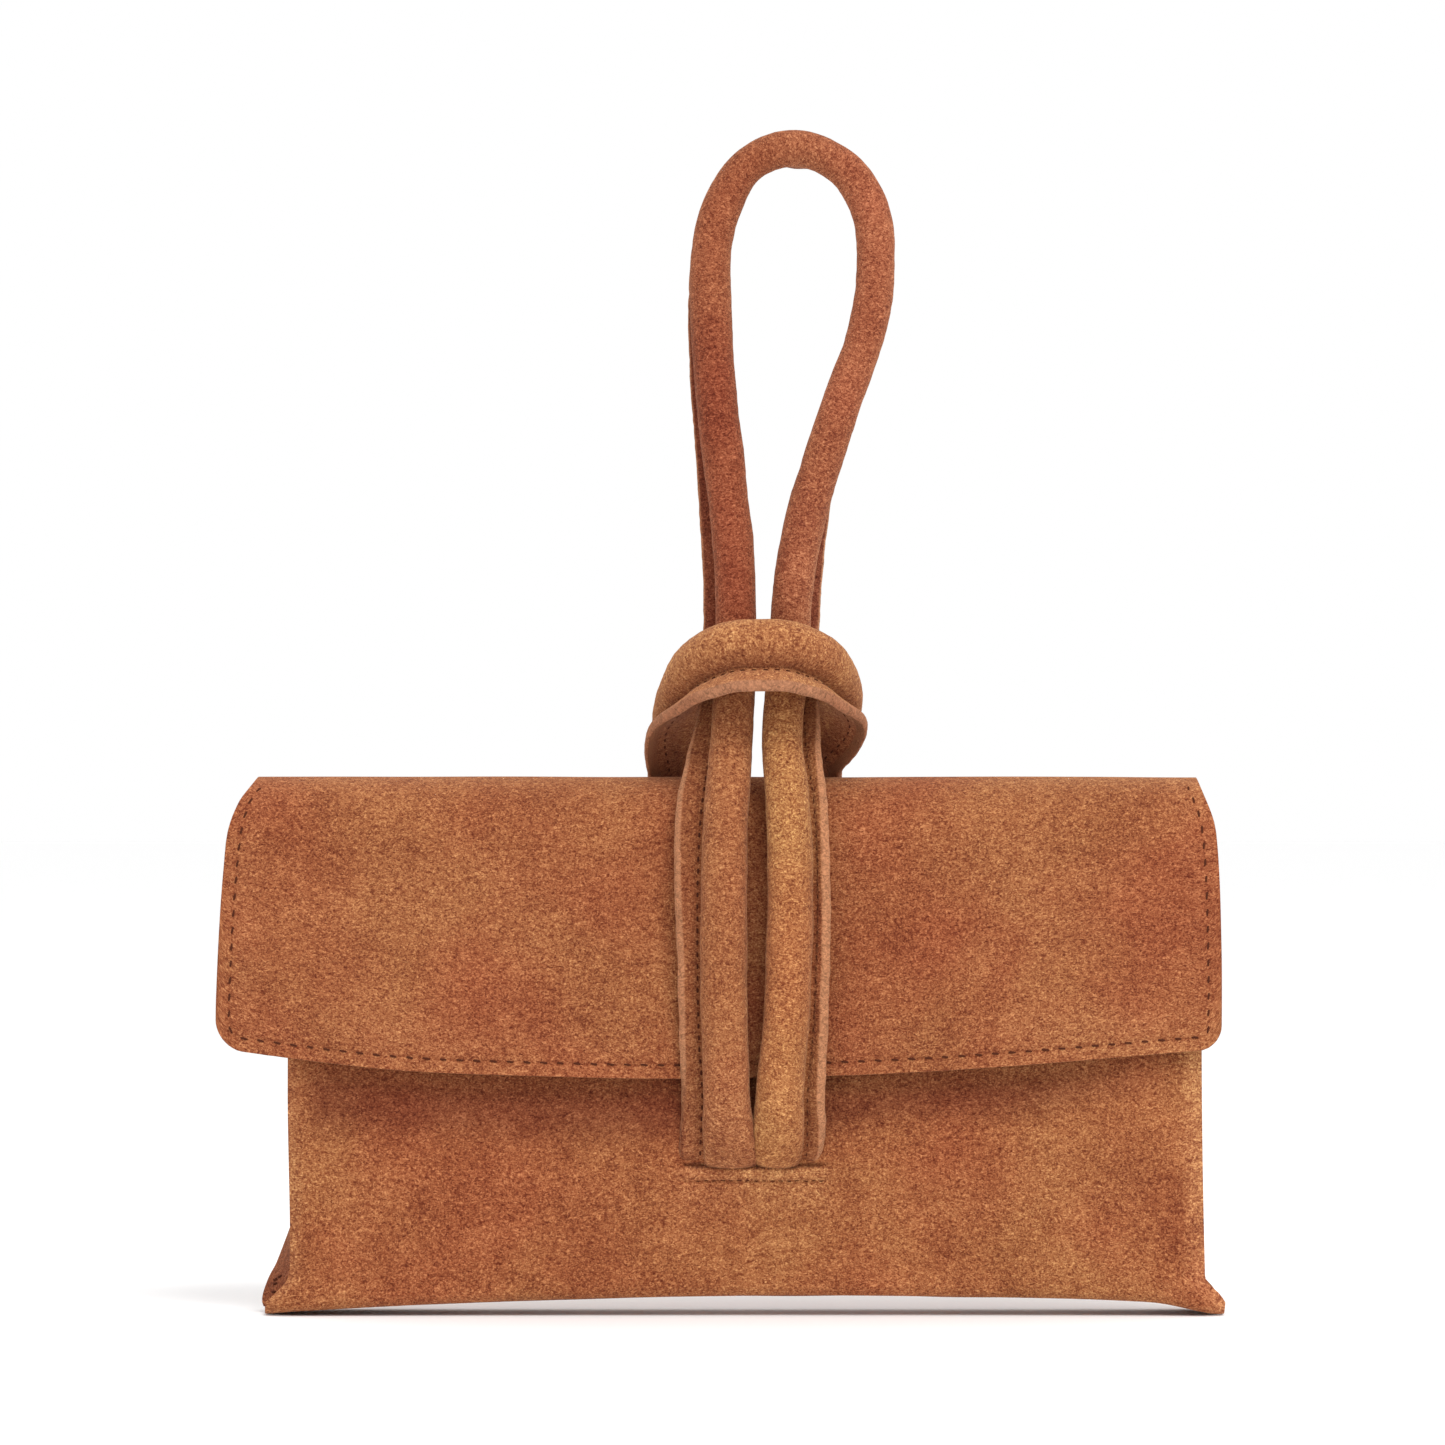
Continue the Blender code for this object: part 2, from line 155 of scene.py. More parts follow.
def thick_sheet(name, points, flat, thickness, materials, rim_raw=0.6):
    """A closed sheet. points is the outer face, a grid whose normals point outwards, and flat its layout.

    rim_raw is how much the rim looks like a cut edge: 0 is a turned edge.
    """
    points = np.asarray(points, float)
    rows, columns = points.shape[:2]
    normals = grid_normals(points)
    inner = points - normals * thickness
    count = rows * columns
    vertices = list(points.reshape(-1, 3)) + list(inner.reshape(-1, 3))
    flat3 = np.concatenate([np.asarray(flat, float).reshape(-1, 2), np.zeros((count, 1))], axis=1)
    flats = list(flat3) + [f + np.array([0.3, 0.2, 0.1]) for f in flat3]
    raw = [0.0] * (2 * count)
    faces = []

    def index(i, j):
        return i * columns + j

    for i in range(rows - 1):
        for j in range(columns - 1):
            a, b, c, d = index(i, j), index(i, j + 1), index(i + 1, j + 1), index(i + 1, j)
            faces.append((a, d, c, b))
            faces.append((a + count, b + count, c + count, d + count))
    rim = [(0, j) for j in range(columns - 1)]
    rim += [(i, columns - 1) for i in range(rows - 1)]
    rim += [(rows - 1, j) for j in range(columns - 1, 0, -1)]
    rim += [(i, 0) for i in range(rows - 1, 0, -1)]
    first = len(vertices)
    length = 0.0
    for n, (i, j) in enumerate(rim):
        along = points[rim[(n + 1) % len(rim)]] - points[rim[n - 1]]
        outward = points[i, j] - points[min(max(i, 1), rows - 2), min(max(j, 1), columns - 2)]
        outward /= max(np.linalg.norm(outward), 1e-9)
        length += np.linalg.norm(along) / 2
        roughness = 0.08 * MM * wave(length, 0, 0.9 * MM, 3.1)
        middle = (points[i, j] + inner[i, j]) / 2 + outward * (0.12 * MM + roughness)
        vertices.append(middle)
        flats.append(np.array([length, 0.5, 0.7]))
        raw.append(rim_raw)
    for n in range(len(rim)):
        m = (n + 1) % len(rim)
        a, b = index(*rim[n]), index(*rim[m])
        faces.append((a, b, first + m, first + n))
        faces.append((first + n, first + m, b + count, a + count))
    piece = new_piece(name, vertices, faces, flats, raw, materials)
    face_outwards(piece)
    return piece


def paint(piece, **values):
    """Point attributes for the suede: one is painted shade, and one is paleness that is partly rubbed nap and
    partly painted highlight.
    """
    for name, numbers in values.items():
        layer_data = piece.data.attributes.new(name, "FLOAT", "POINT")
        layer_data.data.foreach_set("value", np.asarray(numbers, np.float32))


def positions(piece):
    """Every vertex of a piece, in millimetres."""
    found = np.zeros(len(piece.data.vertices) * 3)
    piece.data.vertices.foreach_get("co", found)
    return found.reshape(-1, 3) / MM


def face_outwards(piece):
    """Turns all faces of a closed mesh to point out of it."""
    mesh = bmesh.new()
    mesh.from_mesh(piece.data)
    bmesh.ops.recalc_face_normals(mesh, faces=mesh.faces)
    mesh.to_mesh(piece.data)
    mesh.free()
    piece.data.update()


# ---------------------------------------------------------------- materials

def node(tree, kind, **settings):
    made = tree.nodes.new(kind)
    for key, value in settings.items():
        setattr(made, key, value)
    return made


def principled(name, colour, roughness):
    made = bpy.data.materials.new(name)
    made.use_nodes = True
    shader = made.node_tree.nodes["Principled BSDF"]
    shader.inputs["Base Color"].default_value = (*colour, 1)
    shader.inputs["Roughness"].default_value = roughness
    shader.inputs["Specular IOR Level"].default_value = 0.25
    return made, made.node_tree, shader


def noise_value(tree, vector, size, detail=2.0, roughness=0.6, distortion=0.0, stretch=None):
    """A noise texture whose bumps are about size metres across."""
    if stretch is not None:
        mapping = node(tree, "ShaderNodeMapping")
        mapping.inputs["Scale"].default_value = stretch
        tree.links.new(vector, mapping.inputs["Vector"])
        vector = mapping.outputs["Vector"]
    texture = node(tree, "ShaderNodeTexNoise")
    texture.inputs["Scale"].default_value = 1 / size
    texture.inputs["Detail"].default_value = detail
    texture.inputs["Roughness"].default_value = roughness
    texture.inputs["Distortion"].default_value = distortion
    tree.links.new(vector, texture.inputs["Vector"])
    return texture.outputs["Fac"]


def centred_sum(tree, parts, start=0.5):
    """start plus the sum of (value - 0.5) times its weight."""
    total = None
    for value, weight in parts:
        step = node(tree, "ShaderNodeMath", operation="MULTIPLY_ADD")
        tree.links.new(value, step.inputs[0])
        step.inputs[1].default_value = weight
        if total is None:
            step.inputs[2].default_value = start - weight / 2
        else:
            shift = node(tree, "ShaderNodeMath", operation="SUBTRACT")
            tree.links.new(total, shift.inputs[0])
            shift.inputs[1].default_value = weight / 2
            tree.links.new(shift.outputs[0], step.inputs[2])
        total = step.outputs[0]
    return total


def steep(tree, value, low, high):
    """0 below low, 1 above high, and a straight line between; low may be the larger one."""
    part = node(tree, "ShaderNodeMapRange", clamp=True)
    tree.links.new(value, part.inputs["Value"])
    part.inputs["From Min"].default_value = low
    part.inputs["From Max"].default_value = high
    return part.outputs["Result"]


def colour_ramp(tree, factor, first, second):
    """A colour between two stops, each (position, colour)."""
    ramp = node(tree, "ShaderNodeValToRGB")
    for element, (position, colour) in zip(ramp.color_ramp.elements, (first, second)):
        element.position = position
        element.color = (*colour, 1)
    tree.links.new(factor, ramp.inputs["Fac"])
    return ramp


def shaded(colour, factor):
    return tuple(c * factor for c in colour)


def add_bump(tree, shader, height, strength, distance):
    bump = node(tree, "ShaderNodeBump")
    bump.inputs["Strength"].default_value = strength
    bump.inputs["Distance"].default_value = distance
    tree.links.new(height, bump.inputs["Height"])
    tree.links.new(bump.outputs["Normal"], shader.inputs["Normal"])


def attribute(tree, name, output="Fac"):
    return node(tree, "ShaderNodeAttribute", attribute_name=name).outputs[output]


def suede(name, base, zones=1.0):
    """Brushed suede: soft zones of nap, clumps, short pale fibres, small dark pits, and rough cut edges, with
    painted shade, rubbed nap and painted highlight from point attributes.
    """
    made, tree, shader = principled(name, base, 0.95)
    shader.inputs["Sheen Weight"].default_value = 0.22
    shader.inputs["Sheen Roughness"].default_value = 0.5
    shader.inputs["Sheen Tint"].default_value = (1.0, 0.60, 0.36, 1)
    shader.inputs["Specular IOR Level"].default_value = 0.08
    place = attribute(tree, "flat", "Vector")
    patches = noise_value(tree, place, 30 * MM, 2.0, 0.5)
    strokes = noise_value(tree, place, 6 * MM, 2.0, 0.55, 0.5, (1.0, 0.75, 1.0))
    clumps = noise_value(tree, place, 2.2 * MM, 2.0, 0.6, 0.8)
    specks = noise_value(tree, place, 1.0 * MM, 1.0, 0.6, 1.6, (0.8, 1.15, 1.0))
    fibres = noise_value(tree, place, 0.6 * MM, 1.0, 0.6, 1.0, (1.2, 0.75, 1.0))
    tone = centred_sum(
        tree,
        [(patches, 0.5 * zones), (strokes, 0.35 * zones), (clumps, 0.4), (specks, 1.35), (fibres, 1.25)],
    )
    dark = (base[0] * 0.50, base[1] * 0.36, base[2] * 0.40)
    pale = (base[0] * 1.55, base[1] * 1.95, base[2] * 2.05)
    ramp = colour_ramp(tree, tone, (0.08, dark), (0.95, pale))
    middle = ramp.color_ramp.elements.new(0.5)
    middle.color = (*base, 1)
    hue = noise_value(tree, place, 52 * MM, 2.0, 0.5, 0.4)
    tint = colour_ramp(tree, hue, (0.36, (0.96, 0.82, 0.84)), (0.62, (1.04, 1.10, 1.06)))
    colour = blend_colour(tree, "MULTIPLY", zones, ramp.outputs["Color"], tint.outputs["Color"])
    flecks = noise_value(tree, place, 1.15 * MM, 0.0, 0.5, 2.6, (0.7, 1.3, 1.0))
    colour = blend_colour(tree, "MULTIPLY", steep(tree, flecks, 0.57, 0.67), colour, (1.38, 1.55, 1.60))
    colour = blend_colour(tree, "MULTIPLY", steep(tree, flecks, 0.40, 0.31), colour, (0.70, 0.55, 0.55))
    cut = colour_ramp(tree, specks, (0.3, shaded(CUT_EDGE, 0.6)), (0.68, shaded(CUT_EDGE, 1.35)))
    colour = blend_colour(tree, "MIX", attribute(tree, "raw"), colour, cut.outputs["Color"])
    # Painted shade: a point attribute darkens and reddens the colour.
    colour = blend_colour(tree, "MULTIPLY", attribute(tree, "shade"), colour, (0.42, 0.28, 0.34))
    # Paleness from a point attribute: partly rubbed nap, partly painted highlight.
    colour = blend_colour(tree, "MULTIPLY", attribute(tree, "worn"), colour, (1.30, 1.52, 1.60))
    tree.links.new(colour, shader.inputs["Base Color"])
    height = centred_sum(tree, [(clumps, 0.5), (specks, 0.9), (fibres, 0.6)])
    add_bump(tree, shader, height, 0.8, 0.4 * MM)
    return made


def blend_colour(tree, mode, factor, first, second):
    """One colour mixed into another: factor is a number or a socket, and second a colour or a socket."""
    mix = node(tree, "ShaderNodeMix", data_type="RGBA", blend_type=mode, clamp_result=False)
    if isinstance(factor, float):
        mix.inputs["Factor"].default_value = factor
    else:
        tree.links.new(factor, mix.inputs["Factor"])
    tree.links.new(first, mix.inputs["A"])
    if isinstance(second, tuple):
        mix.inputs["B"].default_value = (*second, 1)
    else:
        tree.links.new(second, mix.inputs["B"])
    return mix.outputs["Result"]


def lining_cloth(name, colour):
    """A fine plain-woven lining."""
    made, tree, shader = principled(name, colour, 0.8)
    place = attribute(tree, "flat", "Vector")
    split = node(tree, "ShaderNodeSeparateXYZ")
    tree.links.new(place, split.inputs["Vector"])
    threads = []
    for axis in ("X", "Y"):
        turns = node(tree, "ShaderNodeMath", operation="MULTIPLY")
        tree.links.new(split.outputs[axis], turns.inputs[0])
        turns.inputs[1].default_value = math.pi / (0.45 * MM)
        sine = node(tree, "ShaderNodeMath", operation="SINE")
        tree.links.new(turns.outputs[0], sine.inputs[0])
        threads.append(sine.outputs[0])
    weave = node(tree, "ShaderNodeMath", operation="MULTIPLY")
    tree.links.new(threads[0], weave.inputs[0])
    tree.links.new(threads[1], weave.inputs[1])
    add_bump(tree, shader, weave.outputs[0], 0.5, 0.12 * MM)
    slubs = noise_value(tree, place, 1.4 * MM, 3.0, 0.6, 0.3, (1.0, 0.45, 1.0))
    ramp = colour_ramp(tree, slubs, (0.3, shaded(colour, 0.82)), (0.7, shaded(colour, 1.15)))
    tree.links.new(ramp.outputs["Color"], shader.inputs["Base Color"])
    return made


def waxed_thread(name, colour):
    """Twisted thread: fine slanting ridges."""
    made, tree, shader = principled(name, colour, 0.9)
    shader.inputs["Specular IOR Level"].default_value = 0.05
    place = attribute(tree, "flat", "Vector")
    twist = noise_value(tree, place, 0.3 * MM, 1.0, 0.5)
    add_bump(tree, shader, twist, 0.5, 0.08 * MM)
    return made


CUT_EDGE = (0.405, 0.176, 0.086)
FLAP_SUEDE = suede("suede_flap", (0.272, 0.086, 0.0335))
WALL_SUEDE = suede("suede_wall", (0.285, 0.093, 0.0355), 1.25)
# The legs, the loop and the collar are one suede: the right leg's and the collar's paler copies are painted
# light, and the loop's darker, redder copy is painted shade.
LEFT_LEG_SUEDE = suede("suede_leg_left", (0.278, 0.089, 0.035), 0.8)
RIGHT_LEG_LIT_SUEDE = suede("suede_leg_right_painted_lit", (0.350, 0.134, 0.048), 0.8)
LOOP_SHADED_SUEDE = suede("suede_loop_painted_shade", (0.228, 0.060, 0.0265), 0.9)
COLLAR_LIT_SUEDE = suede("suede_collar_painted_lit", (0.330, 0.122, 0.046), 0.8)
LINING = lining_cloth("lining", (0.20, 0.115, 0.065))
THREAD = waxed_thread("thread", (0.075, 0.021, 0.011))
BOARD = lining_cloth("stiffener_felt", (0.55, 0.51, 0.45))


# ---------------------------------------------------------------- outlines, in millimetres

# (height, x) for a side, (x, height) for a lower edge, and (height, reach) for a sewn corner
FLAP_LEFT = ((60, -138.0), (84, -138.0), (121, -135.6), (134, -132.8), (140.4, -127.8))
FLAP_RIGHT = ((60, 123.2), (98, 123.2), (128, 121.5), (140.4, 117.4))
FLAP_EDGE = ((-138, 69.9), (-93, 64.6), (-58, 63), (-10, 62.2), (46, 64), (123, 69.8))
WALL_LEFT = (
    (0.3, -124.2), (2.4, -126.3), (5, -123.9), (9, -120.1), (14, -119.1), (60, -119.7), (130, -118.8)
)
WALL_RIGHT = ((0.3, 122.8), (2.2, 124.9), (5.4, 123.4), (9, 119.8), (12, 119.3), (60, 118.5), (130, 118.6))
FOOT = ((-126, 0.3), (-118, 1.1), (-60, 3.9), (0, 5.2), (50, 5), (105, 3.5), (121, 0.5), (125, 0.3))
LEFT_EAR = ((0, 8), (3.4, 9.1), (9.1, 7.3), (13.1, 5.2), (24.2, 1.3), (45, -7), (60, -9.5), (124, -9.5))
RIGHT_EAR = ((0, 5.4), (2.4, 6.1), (5.4, 4.5), (8.8, 0.6), (16, -1.5), (60, -9.5), (124, -9.5))

CORNER_LEFT = 7.5
CORNER_RIGHT = 6.0
EDGE_ROLL = 2.6
FOOT_ROLL = 3.2
SEAM_INSET = 3.5
EDGE_STEPS = (0, 0.08, 0.3, 0.7, 1.2, 1.8, 2.4, 2.95, 3.25, 3.5, 3.75, 4.05, 4.6, 5.4, 6.4, 7.6)


# Rows of the hide's grid, and how long its back and the turn of the wall's foot are when laid flat
FOOT_ROWS = 5
BACK_ROWS = 41
FOLD_ROWS = 33
BACK_LENGTH = 120
FOOT_FLAT = 8

# Heights at which the widths of the flap and of the pouch's foot are taken, and the flap's lowest point
FLAP_WIDTH_AT = 75
POUCH_FOOT_AT = 1.5
FLAP_LOWEST = 62.1


def flap_sides(z):
    return curve_value(FLAP_LEFT, z), curve_value(FLAP_RIGHT, z)


def wall_sides(z):
    return curve_value(WALL_LEFT, z), curve_value(WALL_RIGHT, z)


def between(sides, share):
    left, right = sides
    return left + (right - left) * share


def laid_flat(rows, flats):
    """A grid's points in metres, and its layout: x as it is, and each row's place along the laid sheet."""
    points = np.array(rows) * MM
    flat = np.zeros(points.shape[:2] + (2,))
    flat[:, :, 0] = points[:, :, 0]
    flat[:, :, 1] = (np.array(flats) * MM)[:, None]
    return points, flat


def across_steps(width, step):
    """Distances from 0 to width, fine at both ends."""
    middle = np.arange(EDGE_STEPS[-1], width - EDGE_STEPS[-1], step)[1:]
    return list(EDGE_STEPS) + list(middle) + [width - d for d in reversed(EDGE_STEPS)]


def corner_lift(distance, radius):
    """How far a rounded corner lifts the lower edge, at this distance from the side."""
    if distance >= radius:
        return 0.0
    return radius - math.sqrt(max(0.0, radius**2 - (radius - distance) ** 2))


def flap_low(x):
    """The flap's lower edge at x, corners included."""
    left, right = flap_sides(FLAP_WIDTH_AT)
    lift = corner_lift(max(0.0, x - left), CORNER_LEFT) + corner_lift(max(0.0, right - x), CORNER_RIGHT)
    return curve_value(FLAP_EDGE, x) + lift


def flap_face(x, z):
    """y of the flap's outer face: it lies against the strap and the ends, and stands off between them."""
    low = curve_value(FLAP_EDGE, x)
    ends = ease(x, -134, -88) * (1 - ease(x, 70, 116))
    hang = (1 - ease(z, low, 118)) * ends
    bow = 2.6 * hang * (1 - bell(x - 2.5, 27))
    ripple = 0.45 * wave(x, z, 46, 2.0) + 0.22 * wave(x, z, 15, 5.0)
    fade = 1 - ease(z, 118, 126)
    droop = 0.8 * (1 - ease(x, -138, -120)) * (1 - ease(z, 80, 120))
    inside = min(x - curve_value(FLAP_LEFT, z), curve_value(FLAP_RIGHT, z) - x, z - flap_low(x))
    groove = 0.3 * bell(inside - SEAM_INSET, 0.7)
    border = 0.25 * (1 - ease(inside, SEAM_INSET - 0.6, SEAM_INSET + 0.5))
    return FLAP_FACE / MM - bow - ripple * fade + droop + (groove + border) * ease(inside, -1, 0.01)


def back_sides(z):
    """The back's sides: they follow the wall, and spread towards the wider fold."""
    widen = ease(z, 92, 141)
    left, right = wall_sides(z)
    return left + (-127.8 + 118.9) * widen, right - 1.0 * widen


def hide_grid():
    """The outer face of the one suede piece: up the back, over the fold and down the flap, in metres."""
    flap_left, flap_right = flap_sides(FLAP_WIDTH_AT)
    width = flap_right - flap_left
    columns = across_steps(width, 1.9)
    shares = [d / width for d in columns]
    back_y = BACK_FACE / MM
    fold_y, fold_z = FOLD_Y / MM, FOLD_Z / MM
    radius = TOP / MM - fold_z
    rows = []
    flats = []

    for turn in np.linspace(90, 0, FOOT_ROWS + 1)[:-1]:
        angle = math.radians(turn)
        y = back_y - FOOT_ROLL * (1 - math.cos(angle))
        row = []
        for share in shares:
            x = between(back_sides(POUCH_FOOT_AT), share)
            row.append((x, y, curve_value(FOOT, x) + FOOT_ROLL * (1 - math.sin(angle))))
        rows.append(row)
        flats.append(-math.radians(turn) * FOOT_ROLL)
    for climb in np.linspace(0, 1, BACK_ROWS + 1)[:-1]:
        row = []
        for share in shares:
            foot = curve_value(FOOT, between(back_sides(POUCH_FOOT_AT), share)) + FOOT_ROLL
            z = foot + (fold_z - foot) * climb
            left, right = back_sides(z)
            x = between((left, right), share)
            gap = min(x - left, right - x)
            roll = 0.5 * EDGE_ROLL * max(0.0, 1 - gap / 5.5) ** 2 * (1 - ease(z, 96, 122))
            slit = 1.6 * bell(z - BACK_SLIT_Z / MM, 0.8) * ease(x, -29, -27) * (1 - ease(x, 32, 34))
            ripple = 0.35 * wave(x, z, 40, 8.0) * (1 - ease(z, 112, 124))
            row.append((x, back_y - roll - slit + ripple, z))
        rows.append(row)
        flats.append(climb * BACK_LENGTH)
    for turn in np.linspace(0, 180, FOLD_ROWS + 1)[:-1]:
        angle = math.radians(turn)
        z = fold_z + radius * math.sin(angle)
        left_back, right_back = back_sides(z)
        share_front = ease(turn, 0, 180)
        left_front, right_front = flap_sides(z)
        sides = between((left_back, left_front), share_front), between((right_back, right_front), share_front)
        row = []
        for share in shares:
            x = between(sides, share)
            sag = 0.35 * wave(x, turn, 45, 4.0) * math.sin(angle)
            row.append((x, fold_y + (radius + sag) * math.cos(angle), z + sag * math.sin(angle)))
        rows.append(row)
        flats.append(BACK_LENGTH + radius * angle)
    start = BACK_LENGTH + radius * math.pi
    falls = [fold_z - FLAP_LOWEST - d for d in np.arange(0, 48, 1.5)] + list(reversed(EDGE_STEPS))
    deepest = falls[0]
    for fall in falls:
        row = []
        for share in shares:
            low = flap_low(between(flap_sides(FLAP_WIDTH_AT), share))
            z = low + (fold_z - low) * fall / deepest
            x = between(flap_sides(z), share)
            row.append((x, flap_face(x, z), z))
        rows.append(row)
        flats.append(start + deepest - fall)
    back_rows = FOOT_ROWS + BACK_ROWS
    return *laid_flat(rows, flats), {"back": back_rows, "fold": back_rows + FOLD_ROWS, "all": len(rows)}


def wall_face(x, z):
    """y of the front wall's outer face, in millimetres."""
    left, right = wall_sides(z)
    gap = max(0.0, min(x - left, right - x))
    roll = EDGE_ROLL * max(0.0, 1 - gap / 5.5) ** 2
    puff = 1.3 * ease(z, 4, 34) * (1 - ease(z, 52, 66)) * ease(gap, 4, 45)
    ripple = 0.4 * wave(x, z, 38, 6.0) + 0.18 * wave(x, z, 13, 7.0)
    ripple *= ease(z, 4, 12) * ease(gap, 2, 10) * (1 - 0.9 * ease(z, 56, 70))
    slit_z = SLIT_Z / MM
    left_end, right_end = SLIT_LEFT / MM, SLIT_RIGHT / MM
    along = ease(x, left_end - 1.5, left_end + 2) * (1 - ease(x, right_end - 1, right_end + 3))
    slit = 1.9 * bell(z - slit_z, 0.55) * along
    lip = 1.0 * ease(z, slit_z - 4.4, slit_z - 3.2) * (1 - ease(z, slit_z - 1.3, slit_z - 0.3)) * along
    seam = 0.3 * bell(z - (slit_z - 4.1), 0.6) * along
    mouth = 1.4 * ease(z, 120, 129)
    return FRONT_FACE / MM + roll + mouth - puff - ripple + slit - lip + seam


def wall_grid():
    """The outer face of the front wall, from its mouth down to the foot, in metres."""
    width = curve_value(WALL_RIGHT, 40) - curve_value(WALL_LEFT, 40)
    shares = [d / width for d in across_steps(width, 1.5)]
    slit_z = SLIT_Z / MM
    top = PANEL_HIGH.z / MM
    heights = list(np.arange(top, 72, -4)) + list(np.arange(72, slit_z + 3, -1.3))
    heights += list(np.arange(slit_z + 3, slit_z - 6, -0.34))
    level = heights[-1]
    rows = []
    flats = []
    for z in heights:
        places = [between(wall_sides(z), share) for share in shares]
        rows.append([(x, wall_face(x, z), z) for x in places])
        flats.append(-z)
    for drop in np.linspace(0, 1, 26)[1:]:
        row = []
        for share in shares:
            foot = curve_value(FOOT, between(wall_sides(POUCH_FOOT_AT), share)) + FOOT_ROLL
            z = level + (foot - level) * drop
            x = between(wall_sides(z), share)
            row.append((x, wall_face(x, z), z))
        rows.append(row)
        flats.append(-level + (level - FOOT_FLAT) * drop)
    last = rows[-1]
    for turn in np.linspace(0, 90, 7)[1:]:
        angle = math.radians(turn)
        row = []
        for share, above in zip(shares, last):
            x = between((above[0], between(wall_sides(POUCH_FOOT_AT), share)), math.sin(angle))
            z = above[2] - FOOT_ROLL * math.sin(angle)
            row.append((x, above[1] + FOOT_ROLL * (1 - math.cos(angle)), z))
        rows.append(row)
        flats.append(-FOOT_FLAT + FOOT_ROLL * angle)
    return laid_flat(rows, flats)


def layer(points, depth):
    """The same sheet, moved inwards."""
    return points - grid_normals(points) * depth


def band(points, flat, rows, columns):
    return points[rows, columns], flat[rows, columns]


def build_hide():
    points, flat, counts = hide_grid()
    hide = thick_sheet("back_and_flap", points, flat, SUEDE, [FLAP_SUEDE])
    worn = []
    for x, y, z in positions(hide):
        inside = min(x - curve_value(FLAP_LEFT, z), curve_value(FLAP_RIGHT, z) - x)
        if y < 0:
            inside = min(inside, z - flap_low(min(122, max(-137, x))))
        halo = 0.30 * bell(inside - 6.5, 2.6) + 0.30 * (1 - ease(inside, 2.6, 3.4))
        # The pale band along the fold's crest is a painted highlight from the light above; the halo along the
        # flap's edges and stitches is rubbed nap.
        worn.append(halo * (0.7 + 0.5 * wave(x, z, 20, 1.0)) + 0.28 * bell(z - TOP / MM, 3))
    paint(hide, worn=worn)
    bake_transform(hide)
    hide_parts("back_panel", "flap_fold", "flap_panel")
    columns = np.arange(points.shape[1])
    from_side = np.minimum(columns, columns[::-1]) - 10
    from_end = counts["all"] - 5 - np.arange(points.shape[0])
    loose = np.clip(np.minimum(from_side[None, :] / 4, from_end[:, None] / 3), 0, 1)
    inner = layer(points, (1.5 + 0.85 * loose)[:, :, None] * MM)
    rows = slice(8, counts["all"] - 4)
    lining_points, lining_flat = band(inner, flat, rows, slice(10, -10))
    lining = thick_sheet("flap_and_back_lining", lining_points, lining_flat, LINING_THICK, [LINING])
    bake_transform(lining)
    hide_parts("fold_lining", "flap_lining", "back_lining")
    core = layer(points, BOARD_DEPTH)
    flap_points, flap_flat = band(core, flat, slice(counts["fold"] + 1, counts["all"] - 8), slice(15, -15))
    flap_board = thick_sheet("flap_board", flap_points, flap_flat, BOARD_THICK, [BOARD])
    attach(flap_board, "flap")
    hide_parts("flap_stiffener")
    back_points, back_flat = band(core, flat, slice(9, counts["back"] - 8), slice(15, -15))
    back_board = thick_sheet("back_board", back_points, back_flat, BOARD_THICK, [BOARD])
    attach(back_board, "pouch")
    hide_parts("back_stiffener")


def build_front():
    points, flat = wall_grid()
    wall = thick_sheet("front_wall", points, flat, SUEDE, [WALL_SUEDE], rim_raw=0.0)
    worn = []
    shade = []
    for x, _, z in positions(wall):
        left = max(0.0, x - curve_value(WALL_LEFT, z))
        right = max(0.0, curve_value(WALL_RIGHT, z) - x)
        under_slit = ease(x, SLIT_LEFT / MM - 3, SLIT_LEFT / MM + 1)
        under_slit *= 1 - ease(x, SLIT_RIGHT / MM, SLIT_RIGHT / MM + 4)
        drop = SLIT_Z / MM - z
        lip = ease(drop, 0.2, 0.9) * (1 - ease(drop, 3.6, 4.6)) + 0.4 * bell(drop - 7, 4) * ease(drop, 3.9, 5)
        # The paler side borders, wider on the right, are partly rubbed edges and partly painted highlight
        # where the rounded edges turn to the light.
        border = 0.35 * (1 - ease(left, 1.0, 4.2)) + 0.8 * (1 - ease(right, 2.4, 7.5))
        worn.append(border + 0.25 * bell(z - 4, 4) + 0.9 * lip * under_slit)
        # Painted shadow under the flap's lower edge: lighter right at the edge, darkest a few millimetres
        # below it and fading out lower down, weaker at the sides and towards the right; it stays when the
        # flap opens.
        below = curve_value(FLAP_EDGE, x) - z
        shadow_reach = 22 + 5 * wave(x, 0, 45, 4.0) - 7 * ease(x, 10, 60)
        dark = (0.34 + 0.34 * ease(below, 1, 7)) * (1 - ease(below, 0.45 * shadow_reach, shadow_reach))
        shade.append(dark * ease(min(left, right * 0.7), 1, 9) * (1 - 0.6 * ease(x, 70, 112)))
    paint(wall, worn=worn, shade=shade)
    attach(wall, "front")
    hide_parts("front_panel")
    lining_points, lining_flat = band(layer(points, WALL_LINING_DEPTH), flat, slice(0, -9), slice(14, -14))
    lining = thick_sheet("front_wall_lining", lining_points, lining_flat, LINING_THICK, [LINING])
    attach(lining, "front")
    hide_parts("front_lining")
    board_points, board_flat = band(layer(points, BOARD_DEPTH), flat, slice(1, -10), slice(15, -15))
    board = thick_sheet("front_board", board_points, board_flat, BOARD_THICK, [BOARD])
    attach(board, "front")
    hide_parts("front_stiffener")


